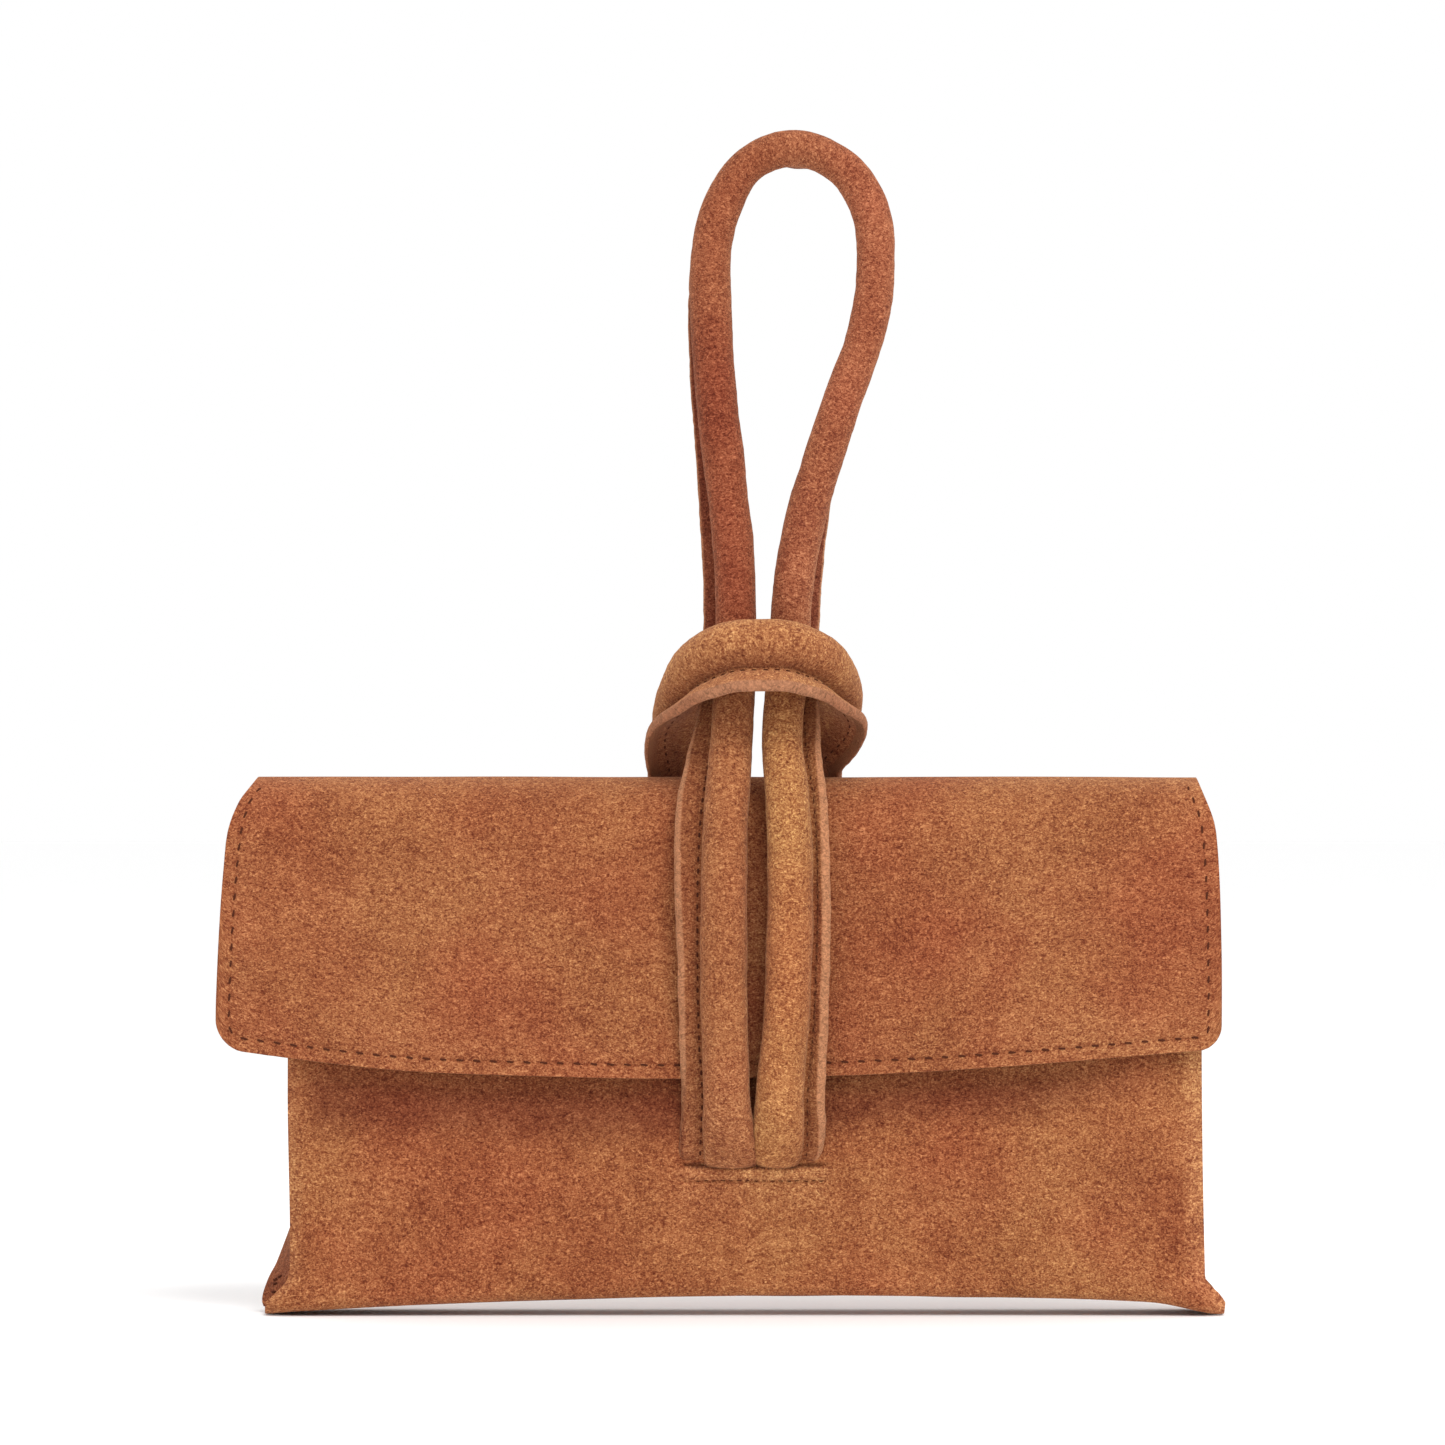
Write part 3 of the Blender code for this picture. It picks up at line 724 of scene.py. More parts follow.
def base_grid(inset):
    """The bottom's outer face: it arches up a little between the two ends."""
    left, right = wall_sides(POUCH_FOOT_AT)
    left, right = left + inset, right - inset
    width = right - left
    shares = [d / width for d in across_steps(width, 3)]
    reach = -FRONT_FACE / MM - FOOT_ROLL + 0.2 - inset * 0.3
    rows = []
    for y in np.linspace(-reach, reach, 15):
        row = []
        for share in shares:
            x = left + width * share
            z = curve_value(FOOT, x)
            pinch = 1 - 0.35 * (bell(x - left, 7) + bell(right - x, 7))
            row.append((x, y * pinch, z + 0.25 * wave(x, y, 25, 9.0) * ease(z, 1.5, 4)))
        rows.append(row)
    points = np.array(rows) * MM
    return points, points[:, :, :2].copy()


def build_base():
    points, flat = base_grid(0)
    base = thick_sheet("bottom", points, flat, SUEDE, [WALL_SUEDE])
    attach(base, "pouch")
    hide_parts("base_panel")
    points, flat = base_grid(9)
    board = thick_sheet("bottom_board", layer(points, BOARD_DEPTH), flat, BOARD_THICK, [BOARD])
    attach(board, "pouch")
    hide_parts("base_stiffener")
    lining = thick_sheet("bottom_lining", layer(points, WALL_LINING_DEPTH), flat, LINING_THICK, [LINING])
    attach(lining, "pouch")
    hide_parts("base_lining")


def gusset_point(side, z, across):
    """A point of a gusset's outer face: across is -1 at the front wall and 1 at the back."""
    keys = LEFT_EAR if side < 0 else RIGHT_EAR
    wall = WALL_LEFT if side < 0 else WALL_RIGHT
    reach = curve_value(keys, z)
    edge = abs(curve_value(wall, max(z, 14))) - 1.1
    shape = (1 - abs(across)) ** 1.1 if reach > 0 else 1 - abs(across) ** 2.2
    ripple = 0.5 * wave(z, across * 9, 17, 11.0 + side) * (1 - across**2)
    return side * (edge + reach * shape + ripple), across * 11.3 + 0.3, z


def gusset_grid(side):
    top = PANEL_HIGH.z / MM - 5.5
    heights = list(np.arange(top, 30, -3.0)) + list(np.linspace(30, 1.6, 26))
    across = np.linspace(-1, 1, 33)
    if side < 0:
        across = across[::-1]
    rows = []
    for z in heights:
        foot_share = 1 - ease(z, 1.0, 8)
        rows.append(
            [
                (p[0], p[1] * (1 - 0.12 * foot_share), p[2])
                for p in (gusset_point(side, z, a) for a in across)
            ]
        )
    points = np.array(rows) * MM
    flat = np.zeros(points.shape[:2] + (2,))
    steps = np.linalg.norm(np.diff(points, axis=1), axis=2)
    flat[:, 1:, 0] = np.cumsum(steps, axis=1)
    flat[:, :, 1] = (np.array(heights) * MM)[:, None]
    return points, flat


def build_gussets():
    for side, name, width, area in ((-1, "left", 46.3, 4080), (1, "right", 42.9, 3990)):
        points, flat = gusset_grid(side)
        gusset = thick_sheet("gusset_suede_" + name, points, flat, 1.0 * MM, [WALL_SUEDE], rim_raw=0.0)
        # Painted shade on the gusset's low corner, the ear: darkest from about 6 to 14 mm up, gone by 30 mm.
        paint(gusset, shade=[0.5 * (1 - ease(z, 14, 30)) * ease(z, 1, 6) for x, y, z in positions(gusset)])
        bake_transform(gusset)
        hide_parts("gusset_" + name, "corner_fold_" + name)
        inner, inner_flat = band(layer(points, 1.3 * MM), flat, slice(1, -6), slice(2, -2))
        lining = thick_sheet("gusset_cloth_" + name, inner, inner_flat, 0.6 * MM, [LINING])
        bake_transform(lining)
        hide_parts("gusset_lining_" + name)


# ---------------------------------------------------------------- stuffed straps

FLANGE_THICK = 2.8


def strap_ring(wide, deep, reach):
    """The strap's section: (outwards, across, how raw it is) of each point, and the place of its seam."""
    thick = min(FLANGE_THICK, deep * 0.9)
    tip = wide + reach
    rear = -deep
    face = rear + thick
    lean = math.asin(max(-1.0, min(1.0, face / deep)))
    crease = wide * math.cos(lean)
    half = rear + thick / 2
    ring = [
        (tip - 0.15, rear + 0.02, 0.7),
        (tip + 0.12, rear + 0.25, 1.0),
        (tip + 0.15, half - 0.4, 1.0),
        (tip + 0.02, half, 0.95),
        (tip - 0.15, half + 0.4, 1.0),
        (tip - 0.5, face - 0.3, 1.0),
        (tip - 0.9, face - 0.05, 0.9),
        (tip - 1.35, face + 0.05, 0.1),
    ]
    for share in (0.25, 0.5, 0.75):
        place = tip - 1.35 + (crease + 1.2 - tip + 1.35) * share
        ring.append((place, face + 0.05 * math.sin(3 * share), 0.0))
    ring.append((crease + 1.1, face - 0.35, 0.0))
    ring.append((crease + 0.35, face - 0.2, 0.0))
    for turn in np.linspace(math.degrees(lean), 268, 24):
        angle = math.radians(turn)
        ring.append((wide * math.cos(angle), deep * math.sin(angle), 0.0))
    for share in (0.25, 0.5, 0.75):
        ring.append((tip * share, rear, 0.0))
    return ring, (crease + 1.1, face)


def smooth_keys(keys, step):
    """Catmull-Rom rows through the keys, about step millimetres apart."""
    rows = [list(k) for k in keys]
    rows = [rows[0]] + rows + [rows[-1]]
    dense = []
    for a, b, c, d in zip(rows, rows[1:], rows[2:], rows[3:]):
        span = math.dist(b[:3], c[:3])
        count = max(2, round(span / step))
        for i in range(count):
            t = i / count
            row = []
            for p, q, r, s in zip(a, b, c, d):
                slope = (r - p) * t + (2 * p - 5 * q + 4 * r - s) * t * t + (3 * q - p - 3 * r + s) * t**3
                row.append(q + slope / 2)
            dense.append(row)
    dense.append(rows[-1])
    return np.array(dense)


def strap_frames(keys, step=1.4):
    """Along the strap: points, outward and across directions, sizes, and the length so far."""
    rows = smooth_keys(keys, step)
    points = rows[:, :3]
    tangents = np.gradient(points, axis=0)
    tangents /= np.linalg.norm(tangents, axis=1, keepdims=True)
    outward = rows[:, 3:6]
    outward = outward - tangents * np.sum(outward * tangents, axis=1, keepdims=True)
    outward /= np.linalg.norm(outward, axis=1, keepdims=True)
    across = np.cross(tangents, outward)
    lengths = np.concatenate([[0], np.cumsum(np.linalg.norm(np.diff(points, axis=0), axis=1))])
    return points, outward, across, rows[:, 6:9], lengths


def stuffed_strap(name, keys, turn, seed, finish, shading, wear_and_highlight_at, bare=lambda z: 1.0):
    """A folded and stuffed suede strip. Keys: x, y, z, flange direction, half width, half depth and flange.

    shading is the painted shade on the cut edge, the flange's face, the tube beside the seam and the rear;
    the argument after it gives how pale a point (x, y, z) is, from rubbed nap and painted highlight, and bare
    how much of the cut edge shows at a height.
    """
    edge_shade, face_shade, seam_shade, rear_shade = shading
    points, outward, across, sizes, lengths = strap_frames(keys)
    vertices = []
    flats = []
    raws = []
    shades = []
    worn = []
    seam = []
    inner_seam = []
    for i in range(len(points)):
        wide, deep, reach = sizes[i]
        reach += 0.22 * wave(lengths[i], 0, 9, seed) + 0.1 * wave(lengths[i], 0, 2.5, seed + 1)
        ring, groove = strap_ring(wide, deep, reach)
        way = 0.0
        before = ring[0]
        for n, (u, v, raw) in enumerate(ring):
            way += math.dist(before[:2], (u, v))
            before = (u, v)
            on_tube = 13 <= n < len(ring) - 3
            swell = 0.0
            if on_tube:
                swell = 0.28 * wave(lengths[i], way, 11, seed + 2)
                swell += 0.13 * wave(lengths[i] * 1.6, way, 3.6, seed + 3)
            scale = 1 + swell / max(deep, 3)
            if 0 < n < 7:
                u += 0.22 * wave(lengths[i], n * 0.9, 2.1, seed + 5)
            place = points[i] + outward[i] * (u * scale) + across[i] * (turn * v * scale)
            vertices.append(place * MM)
            worn.append(wear_and_highlight_at(*place))
            flats.append((way * MM, lengths[i] * MM, seed * 0.37))
            raws.append(raw * bare(place[2]))
            # Painted shade by zone of the section: the cut edge, darker still where it is not bare, then the
            # flange's face, the tube beside the crease and the rear.
            if n < 7:
                shades.append(edge_shade + 0.5 * (1 - bare(place[2])))
            elif n < 13:
                shades.append(face_shade)
            elif on_tube:
                shades.append(seam_shade * max(0.0, 1 - (n - 13) / 7))
            else:
                shades.append(rear_shade)
        inner_seam.append(points[i] + outward[i] * groove[0] - across[i] * (turn * (deep - 0.05)))
        seam.append(points[i] + outward[i] * groove[0] + across[i] * (turn * (groove[1] - 0.2)))
    count = len(ring)
    faces = []
    for i in range(len(points) - 1):
        for n in range(count):
            m = (n + 1) % count
            faces.append((i * count + n, i * count + m, (i + 1) * count + m, (i + 1) * count + n))
    faces.append(tuple(range(count)))
    faces.append(tuple(range((len(points) - 1) * count, len(points) * count)))
    piece = new_piece(name, vertices, faces, flats, raws, [finish], sharp=70)
    paint(piece, shade=shades, worn=worn)
    face_outwards(piece)
    normals = [a * turn for a in across]
    return piece, (np.array(seam), normals), (np.array(inner_seam), [-n for n in normals])


LEFT_LEG = (
    (-4.2, -11.6, 39.4, -1, 0, 0, 6.8, 0.9, 6.3),
    (-4.2, -14.6, 40.0, -1, 0, 0, 6.8, 1.8, 6.3),
    (-4.4, -17.6, 43.2, -1, 0, 0, 6.8, 3.2, 6.4),
    (-5.0, -20.6, 50, -1, 0.04, 0, 6.5, 4.8, 5.9),
    (-5.4, -23.6, 60, -1, -0.02, 0, 6.1, 5.9, 5.4),
    (-5.9, -25.4, 75, -0.98, -0.17, 0, 6.1, 6.1, 4.7),
    (-6.1, -25.7, 98, -0.97, -0.22, 0, 6.1, 6.1, 4.9),
    (-6.0, -25.6, 118, -0.97, -0.2, 0, 6.0, 6.0, 6.0),
    (-5.4, -24.6, 133, -0.98, -0.1, 0, 5.9, 5.9, 6.4),
    (-4.1, -19.4, 150, -0.95, 0.2, 0, 5.5, 5.5, 6.4),
    (-3.2, -13.6, 166, -0.85, 0.5, 0, 5.3, 5.3, 6.1),
    (-3.0, -12.3, 174, -0.9, 0.44, 0, 5.3, 5.3, 6.1),
    (-2.97, -12.22, 176.4, -0.9, 0.44, 0, 5.3, 5.3, 6.0),
)
RIGHT_LEG = (
    (7.9, -11.6, 39.4, 1, 0, 0, 5.6, 0.9, 4.2),
    (7.9, -14.6, 40.0, 1, 0, 0, 5.8, 1.8, 4.3),
    (8.0, -17.6, 43.2, 1, -0.1, 0, 6.5, 3.2, 4.9),
    (8.1, -20.6, 50, 0.95, -0.3, 0, 6.7, 4.8, 4.6),
    (8.5, -23.6, 60, 0.9, -0.44, 0, 6.3, 5.9, 3.9),
    (10.1, -25.4, 77, 0.88, -0.48, 0, 6.0, 6.1, 3.0),
    (11.0, -25.7, 100, 0.87, -0.5, 0, 6.0, 6.1, 2.7),
    (11.1, -25.6, 118, 0.87, -0.5, 0, 6.0, 6.0, 2.5),
    (10.5, -24.6, 133, 0.9, -0.4, 0, 5.8, 5.8, 2.9),
    (9.2, -19.4, 150, 0.95, -0.1, 0, 5.3, 5.3, 4.1),
    (10.2, -13.6, 166, 0.9, 0.3, 0, 5.3, 5.3, 4.9),
    (11.0, -12.3, 174, 0.88, 0.44, 0, 5.3, 5.3, 5.2),
    (11.14, -12.25, 176.4, 0.88, 0.44, 0, 5.3, 5.3, 5.2),
)
LOOP = (
    (-2.98, -12.24, 175.9, -0.9, 0.44, 0, 5.3, 5.3, 6),
    (-2.9, -12.0, 184, -0.9, 0.44, 0, 5.3, 5.3, 6),
    (-3.4, -12.0, 197, -0.9, 0.44, 0, 5.3, 5.3, 5.8),
    (-4.6, -12.0, 210, -0.9, 0.44, 0, 5.3, 5.3, 5.4),
    (-6.2, -11.9, 224, -0.88, 0.47, 0, 5.4, 5.4, 4.8),
    (-8.4, -11.5, 243, -0.84, 0.54, 0, 5.4, 5.4, 4.6),
    (-9.5, -11, 264, -0.8, 0.6, 0, 5.4, 5.4, 4.6),
    (-8.6, -10.4, 282, -0.72, 0.7, 0.1, 5.2, 5.2, 4.6),
    (-3.0, -9.8, 296, -0.4, 0.9, 0.3, 4.9, 4.9, 4.6),
    (4.2, -9.5, 302.4, -0.2, 1, 0.2, 4.8, 4.8, 4.6),
    (12.6, -9.5, 304.4, 0, 1, 0, 4.8, 4.8, 4.6),
    (21, -9.6, 301.8, 0.2, 1, 0.1, 4.8, 4.8, 4.6),
    (28.2, -9.9, 295.8, 0.3, 0.95, 0.1, 4.9, 4.9, 4.6),
    (33, -10.4, 284, 0.4, 0.9, 0, 5.0, 5.0, 4.6),
    (33.3, -11, 268, 0.4, 0.9, 0, 5.0, 5.0, 4.6),
    (30.4, -11.3, 254, 0.45, 0.88, 0, 5.0, 5.0, 4.6),
    (26, -11.6, 241.5, 0.5, 0.87, 0, 5.1, 5.1, 4.7),
    (19.8, -11.9, 223, 0.66, 0.75, 0, 5.2, 5.2, 4.8),
    (14.6, -12, 205, 0.82, 0.56, 0, 5.3, 5.3, 5),
    (11.8, -12, 188, 0.88, 0.46, 0, 5.3, 5.3, 5.2),
    (11.11, -12.26, 175.9, 0.88, 0.44, 0, 5.3, 5.3, 5.2),
)
COLLAR = (
    (-18.8, 11.8, 98.4, -1, 0, 0, 6.6, 0.9, 3.6),
    (-18.8, 15.2, 99.2, -1, 0, 0, 6.6, 1.8, 3.8),
    (-18.8, 17.6, 102.5, -1, 0, 0, 6.2, 3.2, 4),
    (-18.7, 19.8, 111, -1, 0, 0, 5.8, 5.2, 4.4),
    (-18.3, 20.8, 123, -1, -0.05, 0, 5.8, 5.8, 4.8),
    (-18.6, 18.6, 137, -0.85, -0.5, 0, 6, 6, 5.2),
    (-18.9, 10.5, 149, -0.71, -0.7, 0, 6.1, 6.1, 5.9),
    (-18.0, -3, 159.5, -0.85, -0.4, -0.27, 6.2, 6.2, 5.0),
    (-13.4, -17, 169, -0.33, -0.88, -0.3, 6.4, 6.4, 6.2),
    (-5.4, -25.8, 173.9, -0.1, -0.88, -0.46, 6.5, 6.5, 6.9),
    (3.4, -28.2, 174.7, 0, -0.88, -0.475, 6.5, 6.5, 7.1),
    (12.4, -26, 174.1, 0.1, -0.88, -0.46, 6.5, 6.5, 6.9),
    (20.6, -17.5, 169.4, 0.33, -0.88, -0.3, 6.4, 6.4, 6.2),
    (24.1, -3.5, 160.5, 0.85, -0.4, -0.27, 6.2, 6.2, 4.7),
    (20.4, 10.5, 149.5, 0.64, -0.74, -0.2, 6.1, 6.1, 5.6),
    (18.9, 18.6, 137, 0.85, -0.5, 0, 6, 6, 5.2),
    (20.9, 20.8, 123, 1, -0.05, 0, 5.8, 5.8, 4.8),
    (23.0, 19.8, 111, 1, 0, 0, 5.8, 5.2, 4.4),
    (23.5, 17.6, 102.5, 1, 0, 0, 6.2, 3.2, 4),
    (23.6, 15.2, 99.2, 1, 0, 0, 6.6, 1.8, 3.8),
    (23.6, 11.8, 98.4, 1, 0, 0, 6.6, 0.9, 3.6),
)


# ---------------------------------------------------------------- stitches

def stitch_mesh(name, stitches):
    """Short waxed stitches, each (middle, direction, normal, length, width) in millimetres."""
    half = ((0.2, 1.0, 0.06), (0.4, 0.8, -0.08), (0.5, 0.35, -0.32))
    rings = tuple((-along, size, height) for along, size, height in reversed(half)) + half
    vertices = []
    faces = []
    flats = []
    for middle, direction, normal, length, width in stitches:
        middle = np.asarray(middle, float)
        direction = np.asarray(direction, float)
        direction = direction / np.linalg.norm(direction)
        normal = np.asarray(normal, float)
        normal = normal - direction * np.dot(normal, direction)
        normal /= np.linalg.norm(normal)
        side = np.cross(direction, normal)
        first = len(vertices)
        for along, size, height in rings:
            centre = middle + direction * (along * length) + normal * (height * width)
            for k in range(8):
                angle = math.tau * k / 8
                offset = side * math.cos(angle) + normal * math.sin(angle)
                vertices.append((centre + offset * (size * width / 2)) * MM)
                flats.append((along * length * MM, angle * width * MM / 2, middle[0] * MM))
        for r in range(len(rings) - 1):
            for k in range(8):
                m = (k + 1) % 8
                a = first + r * 8
                faces.append((a + k, a + m, a + 8 + m, a + 8 + k))
        faces.append(tuple(first + k for k in reversed(range(8))))
        faces.append(tuple(first + (len(rings) - 1) * 8 + k for k in range(8)))
    piece = new_piece(name, vertices, faces, flats, [0.0] * len(vertices), [THREAD], sharp=60)
    face_outwards(piece)
    return piece


def spaced_along(path, pitch, start=0.0, end=0.0):
    """Evenly spaced (point, direction, length so far) along a polyline."""
    path = np.asarray(path, float)
    steps = np.linalg.norm(np.diff(path, axis=0), axis=1)
    total = np.concatenate([[0], np.cumsum(steps)])
    count = max(1, round((total[-1] - start - end) / pitch))
    found = []
    for k in range(count + 1):
        at = start + (total[-1] - start - end) * k / count
        i = min(int(np.searchsorted(total, at, side="right")) - 1, len(steps) - 1)
        t = (at - total[i]) / steps[i]
        found.append((path[i] + (path[i + 1] - path[i]) * t, path[i + 1] - path[i], at))
    return found


def flap_seam():
    """The route of the flap's edge stitches, on its face."""
    inset = SEAM_INSET
    route = []
    low_left = flap_low(curve_value(FLAP_LEFT, FLAP_WIDTH_AT) + CORNER_LEFT) + inset
    for z in np.arange(137, low_left + CORNER_LEFT - inset, -1.0):
        route.append((curve_value(FLAP_LEFT, z) + inset, z))
    corner = (curve_value(FLAP_LEFT, FLAP_WIDTH_AT) + CORNER_LEFT, low_left + CORNER_LEFT - inset)
    for turn in np.linspace(180, 270, 8)[1:-1]:
        angle = math.radians(turn)
        radius = CORNER_LEFT - inset
        route.append((corner[0] + radius * math.cos(angle), corner[1] + radius * math.sin(angle)))
    right = curve_value(FLAP_RIGHT, FLAP_WIDTH_AT)
    for x in np.arange(corner[0], right - CORNER_RIGHT, 2.0):
        route.append((x, flap_low(x) + inset))
    corner = (right - CORNER_RIGHT, flap_low(right - CORNER_RIGHT) + CORNER_RIGHT)
    for turn in np.linspace(270, 360, 7)[1:-1]:
        angle = math.radians(turn)
        radius = CORNER_RIGHT - inset
        route.append((corner[0] + radius * math.cos(angle), corner[1] + radius * math.sin(angle)))
    for z in np.arange(corner[1] + 1, 138, 1.0):
        route.append((curve_value(FLAP_RIGHT, z) - inset, z))
    return route


def flap_skin(x, z):
    """A point on the flap or the front half of the fold."""
    fold_z = FOLD_Z / MM
    if z <= fold_z:
        return x, flap_face(x, z), z
    radius = TOP / MM - fold_z
    rise = min(1.0, (z - fold_z) / radius)
    return x, FOLD_Y / MM - radius * math.sqrt(1 - rise**2), z


def build_flap_stitches():
    route = [flap_skin(x, z) for x, z in flap_seam()]
    stitches = []
    for point, direction, at in spaced_along(route, 4.35):
        direction = direction / np.linalg.norm(direction)
        normal = np.array((0, -1, 0.0))
        if point[2] > FOLD_Z / MM:
            normal = np.array((0, point[1] - FOLD_Y / MM, point[2] - FOLD_Z / MM))
        slant = np.cross(direction, normal / np.linalg.norm(normal)) * (0.14 + 0.1 * wave(at, 0, 7, 1.0))
        length = 2.0 + 0.4 * wave(at, 0, 5, 2.0)
        point = point + normal / np.linalg.norm(normal) * 0.02
        stitches.append((point, direction + slant, normal, length, 0.55))
    piece = stitch_mesh("flap_stitches", stitches)
    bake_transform(piece)
    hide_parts("flap_thread")


def seam_stitches(seam, pitch, length, width, skip):
    """Stitches down a strap's seam, which leave out a length at its start and its end."""
    points, normals = seam
    stitches = []
    for point, direction, _ in spaced_along(points, pitch, *skip):
        i = int(np.argmin(np.linalg.norm(points - point, axis=1)))
        stitches.append((point, direction, normals[i], length, width))
    return stitches


def leg_wear(foot):
    """How rubbed a leg is: most at its foot."""
    return lambda x, y, z: foot * (1 - ease(z, 46, 82))


def bare_edge(z):
    """How much of the left leg's pale cut edge shows at a height: it fades towards the slit, where the edge
    gets painted shade instead, as a dark contact line against the wall.
    """
    return ease(z, 52, 68)


def loop_painted_highlight(x, y, z):
    """Painted highlight on the loop's right side, which faces the light, most of all low down."""
    return 0.55 * ease(x, 2, 16) + 0.3 * ease(x, 2, 9) * (1 - ease(z, 195, 235))


def collar_painted_highlight(x, y, z):
    """Painted highlight on the collar: along its crest, and on the brim under the arch, whose face turns up
    to the light.
    """
    return 0.12 * ease(z, 168, 180) + 0.55 * ease(-y, 27, 33) * (1 - ease(z, 168.5, 172))


def build_straps():
    # Each strap's four shading numbers are painted shade: cut edge, flange face, tube beside the seam, rear.
    left, left_seam, _ = stuffed_strap(
        "strap_leg_left", LEFT_LEG, 1, 1.3, LEFT_LEG_SUEDE, (0.05, 0.28, 0.1, 0.3), leg_wear(0.7), bare_edge
    )
    right, right_seam, _ = stuffed_strap(
        "strap_leg_right", RIGHT_LEG, -1, 4.7, RIGHT_LEG_LIT_SUEDE, (0.0, 0.62, 0.35, 0.3), leg_wear(0.2)
    )
    loop, loop_seam, _ = stuffed_strap(
        "wrist_strap_loop", LOOP, 1, 7.9, LOOP_SHADED_SUEDE, (0.3, 0.6, 0.1, 0.3), loop_painted_highlight
    )
    hood, hood_seam, hood_inside = stuffed_strap(
        "strap_collar", COLLAR, -1, 12.1, COLLAR_LIT_SUEDE, (0.45, 0.0, 0.5, 0.65), collar_painted_highlight
    )
    for piece, seam, name in ((left, left_seam, "left"), (right, right_seam, "right")):
        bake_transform(piece)
        length, width = (1.25, 0.55) if name == "left" else (1.0, 0.28)
        thread = stitch_mesh("leg_stitches_" + name, seam_stitches(seam, 3.1, length, width, (6, 2)))
        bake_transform(thread)
        names = ["strap_cover_" + name, "strap_padding_" + name]
        if name == "left":
            names.append("strap_ends")
        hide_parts(*names)
        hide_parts("strap_thread_" + name)
    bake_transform(loop)
    thread = stitch_mesh("loop_stitches", seam_stitches(loop_seam, 3.0, 1.5, 0.5, (2, 2)))
    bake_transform(thread)
    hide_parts("loop_cover", "loop_padding")
    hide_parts("loop_thread")
    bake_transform(hood)
    stitches = seam_stitches(hood_seam, 3.0, 1.3, 0.36, (6, 6))
    stitches += seam_stitches(hood_inside, 3.0, 1.5, 0.5, (6, 6))
    thread = stitch_mesh("collar_stitches", stitches)
    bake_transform(thread)
    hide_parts("collar_cover", "collar_padding", "collar_ends")
    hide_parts("collar_thread")


def build_small_stitches():
    slit_z = SLIT_Z / MM
    stitches = []
    for x in np.arange(-12.8, 20, 2.15):
        z = slit_z - 4.05 + 0.35 * wave(x, 0, 4, 1.0)
        length = 1.35 + 0.9 * wave(x, 3, 3, 6.0)
        direction = (1, 0, 0.3 * wave(x, 5, 3, 2.0))
        stitches.append(((x, wall_face(x, z) - 0.02, z), direction, (0, -1, 0), length, 0.34))
    piece = stitch_mesh("front_slit_stitches", stitches)
    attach(piece, "front")
    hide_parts("strap_slit_thread")
    stitches = []
    for x in np.arange(-26, 32, 3.2):
        y = BACK_FACE / MM + 0.35 * wave(x, 94.5, 40, 8.0) + 0.1
        stitches.append(((x, y, BACK_SLIT_Z / MM - 4), (1, 0, 0), (0, 1, 0), 1.9, 0.55))
    piece = stitch_mesh("back_slit_stitches", stitches)
    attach(piece, "pouch")
    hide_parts("collar_slit_thread")
    stitches = []
    for z, inset, tilt in ((5.7, 3.0, 0.1), (7.8, 2.6, 0.45), (8.9, 2.2, 0.3), (9.8, 3.1, 0.5)):
        reach = curve_value(LEFT_EAR, z)
        across = -(1 - ((reach - inset) / reach) ** (1 / 1.1))
        x, y, z = gusset_point(-1, z, across)
        stitches.append(((x - 0.1, y - 0.1, z), (1, -0.8, tilt), (-0.7, -0.7, 0), 1.7, 0.6))
    piece = stitch_mesh("ear_stitches", stitches)
    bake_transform(piece)


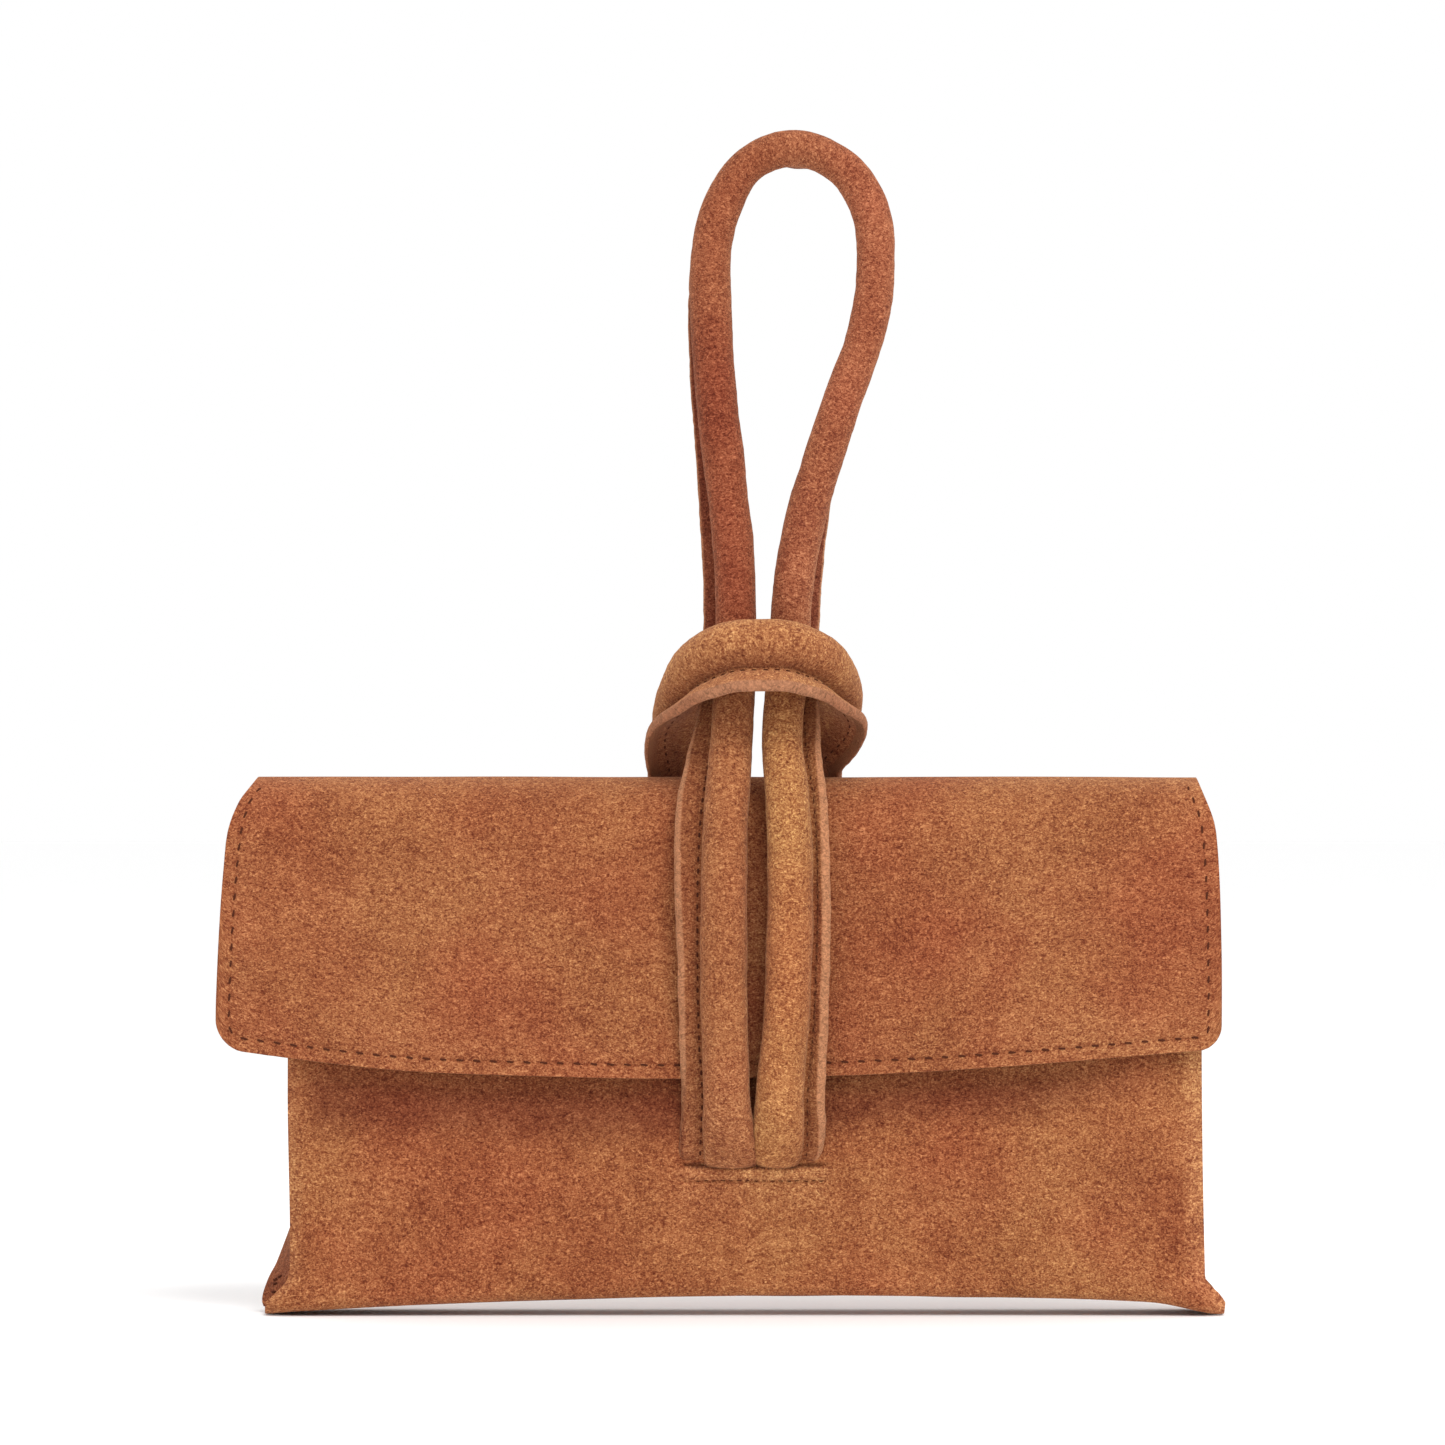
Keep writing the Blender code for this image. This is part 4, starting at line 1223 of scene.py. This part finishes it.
def build_pocket():
    """The slip pocket on the back lining: a cloth patch with a hem."""
    low, high = POCKET_LOW / MM, POCKET_HIGH / MM
    rows = []
    xs = np.linspace(low.x, high.x, 70)
    zs = np.linspace(high.z, low.z, 40)
    for z in zs:
        row = []
        for x in xs:
            gap = min(x - low.x, high.x - x, z - low.z)
            puff = 0.5 * ease(gap, 0, 12) + 0.25 * wave(x, z, 24, 3.0) * ease(gap, 0, 8)
            hem = 0.25 * bell(z - (high.z - 3.5), 0.8)
            row.append((x, low.y - puff + hem + 0.2, z))
        rows.append(row)
    points = np.array(rows) * MM
    flat = points[:, :, (0, 2)].copy()
    pocket = thick_sheet("inner_pocket", points, flat, 0.5 * MM, [LINING])
    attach(pocket, "pouch")
    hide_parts("slip_pocket")


build_hide()
build_front()
build_base()
build_gussets()
build_straps()
build_flap_stitches()
build_small_stitches()
build_pocket()

for kept in ("front_anchor_patch", "back_anchor_patch"):
    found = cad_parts[kept]
    found.data.materials.clear()
    found.data.materials.append(BOARD)


# ---------------------------------------------------------------- floor, light and camera

floor_mesh = bpy.data.meshes.new("floor")
floor_mesh.from_pydata([(-8, -8, 0), (8, -8, 0), (8, 8, 0), (-8, 8, 0)], [], [(0, 1, 2, 3)])
floor = bpy.data.objects.new("floor", floor_mesh)
bpy.context.scene.collection.objects.link(floor)
floor_mesh.materials.append(principled("floor", (0.99, 0.99, 0.99), 0.9)[0])

world = bpy.data.worlds.new("studio")
world.use_nodes = True
world.node_tree.nodes["Background"].inputs["Color"].default_value = (1, 1, 1, 1)
world.node_tree.nodes["Background"].inputs["Strength"].default_value = 1.0
bpy.context.scene.world = world


def softbox(name, place, aim, size, power):
    light = bpy.data.lights.new(name, "AREA")
    light.shape = "RECTANGLE"
    light.size, light.size_y = size
    light.energy = power
    lamp = bpy.data.objects.new(name, light)
    lamp.location = place
    lamp.rotation_euler = (Vector(aim) - Vector(place)).to_track_quat("-Z", "Y").to_euler()
    bpy.context.scene.collection.objects.link(lamp)


softbox("key", (0.5, -1.4, 1.8), (0, 0, 0.12), (1.0, 0.8), 26)

camera_data = bpy.data.cameras.new("camera")
camera_data.lens = 191.6
camera_data.sensor_width = 36
camera = bpy.data.objects.new("camera", camera_data)
camera.location = (-0.0064, -2.015, 0.1546)
camera.rotation_euler = (math.pi / 2, 0, 0)
bpy.context.scene.collection.objects.link(camera)
bpy.context.scene.camera = camera
bpy.context.scene.view_settings.view_transform = "Standard"

bpy.context.view_layer.update()
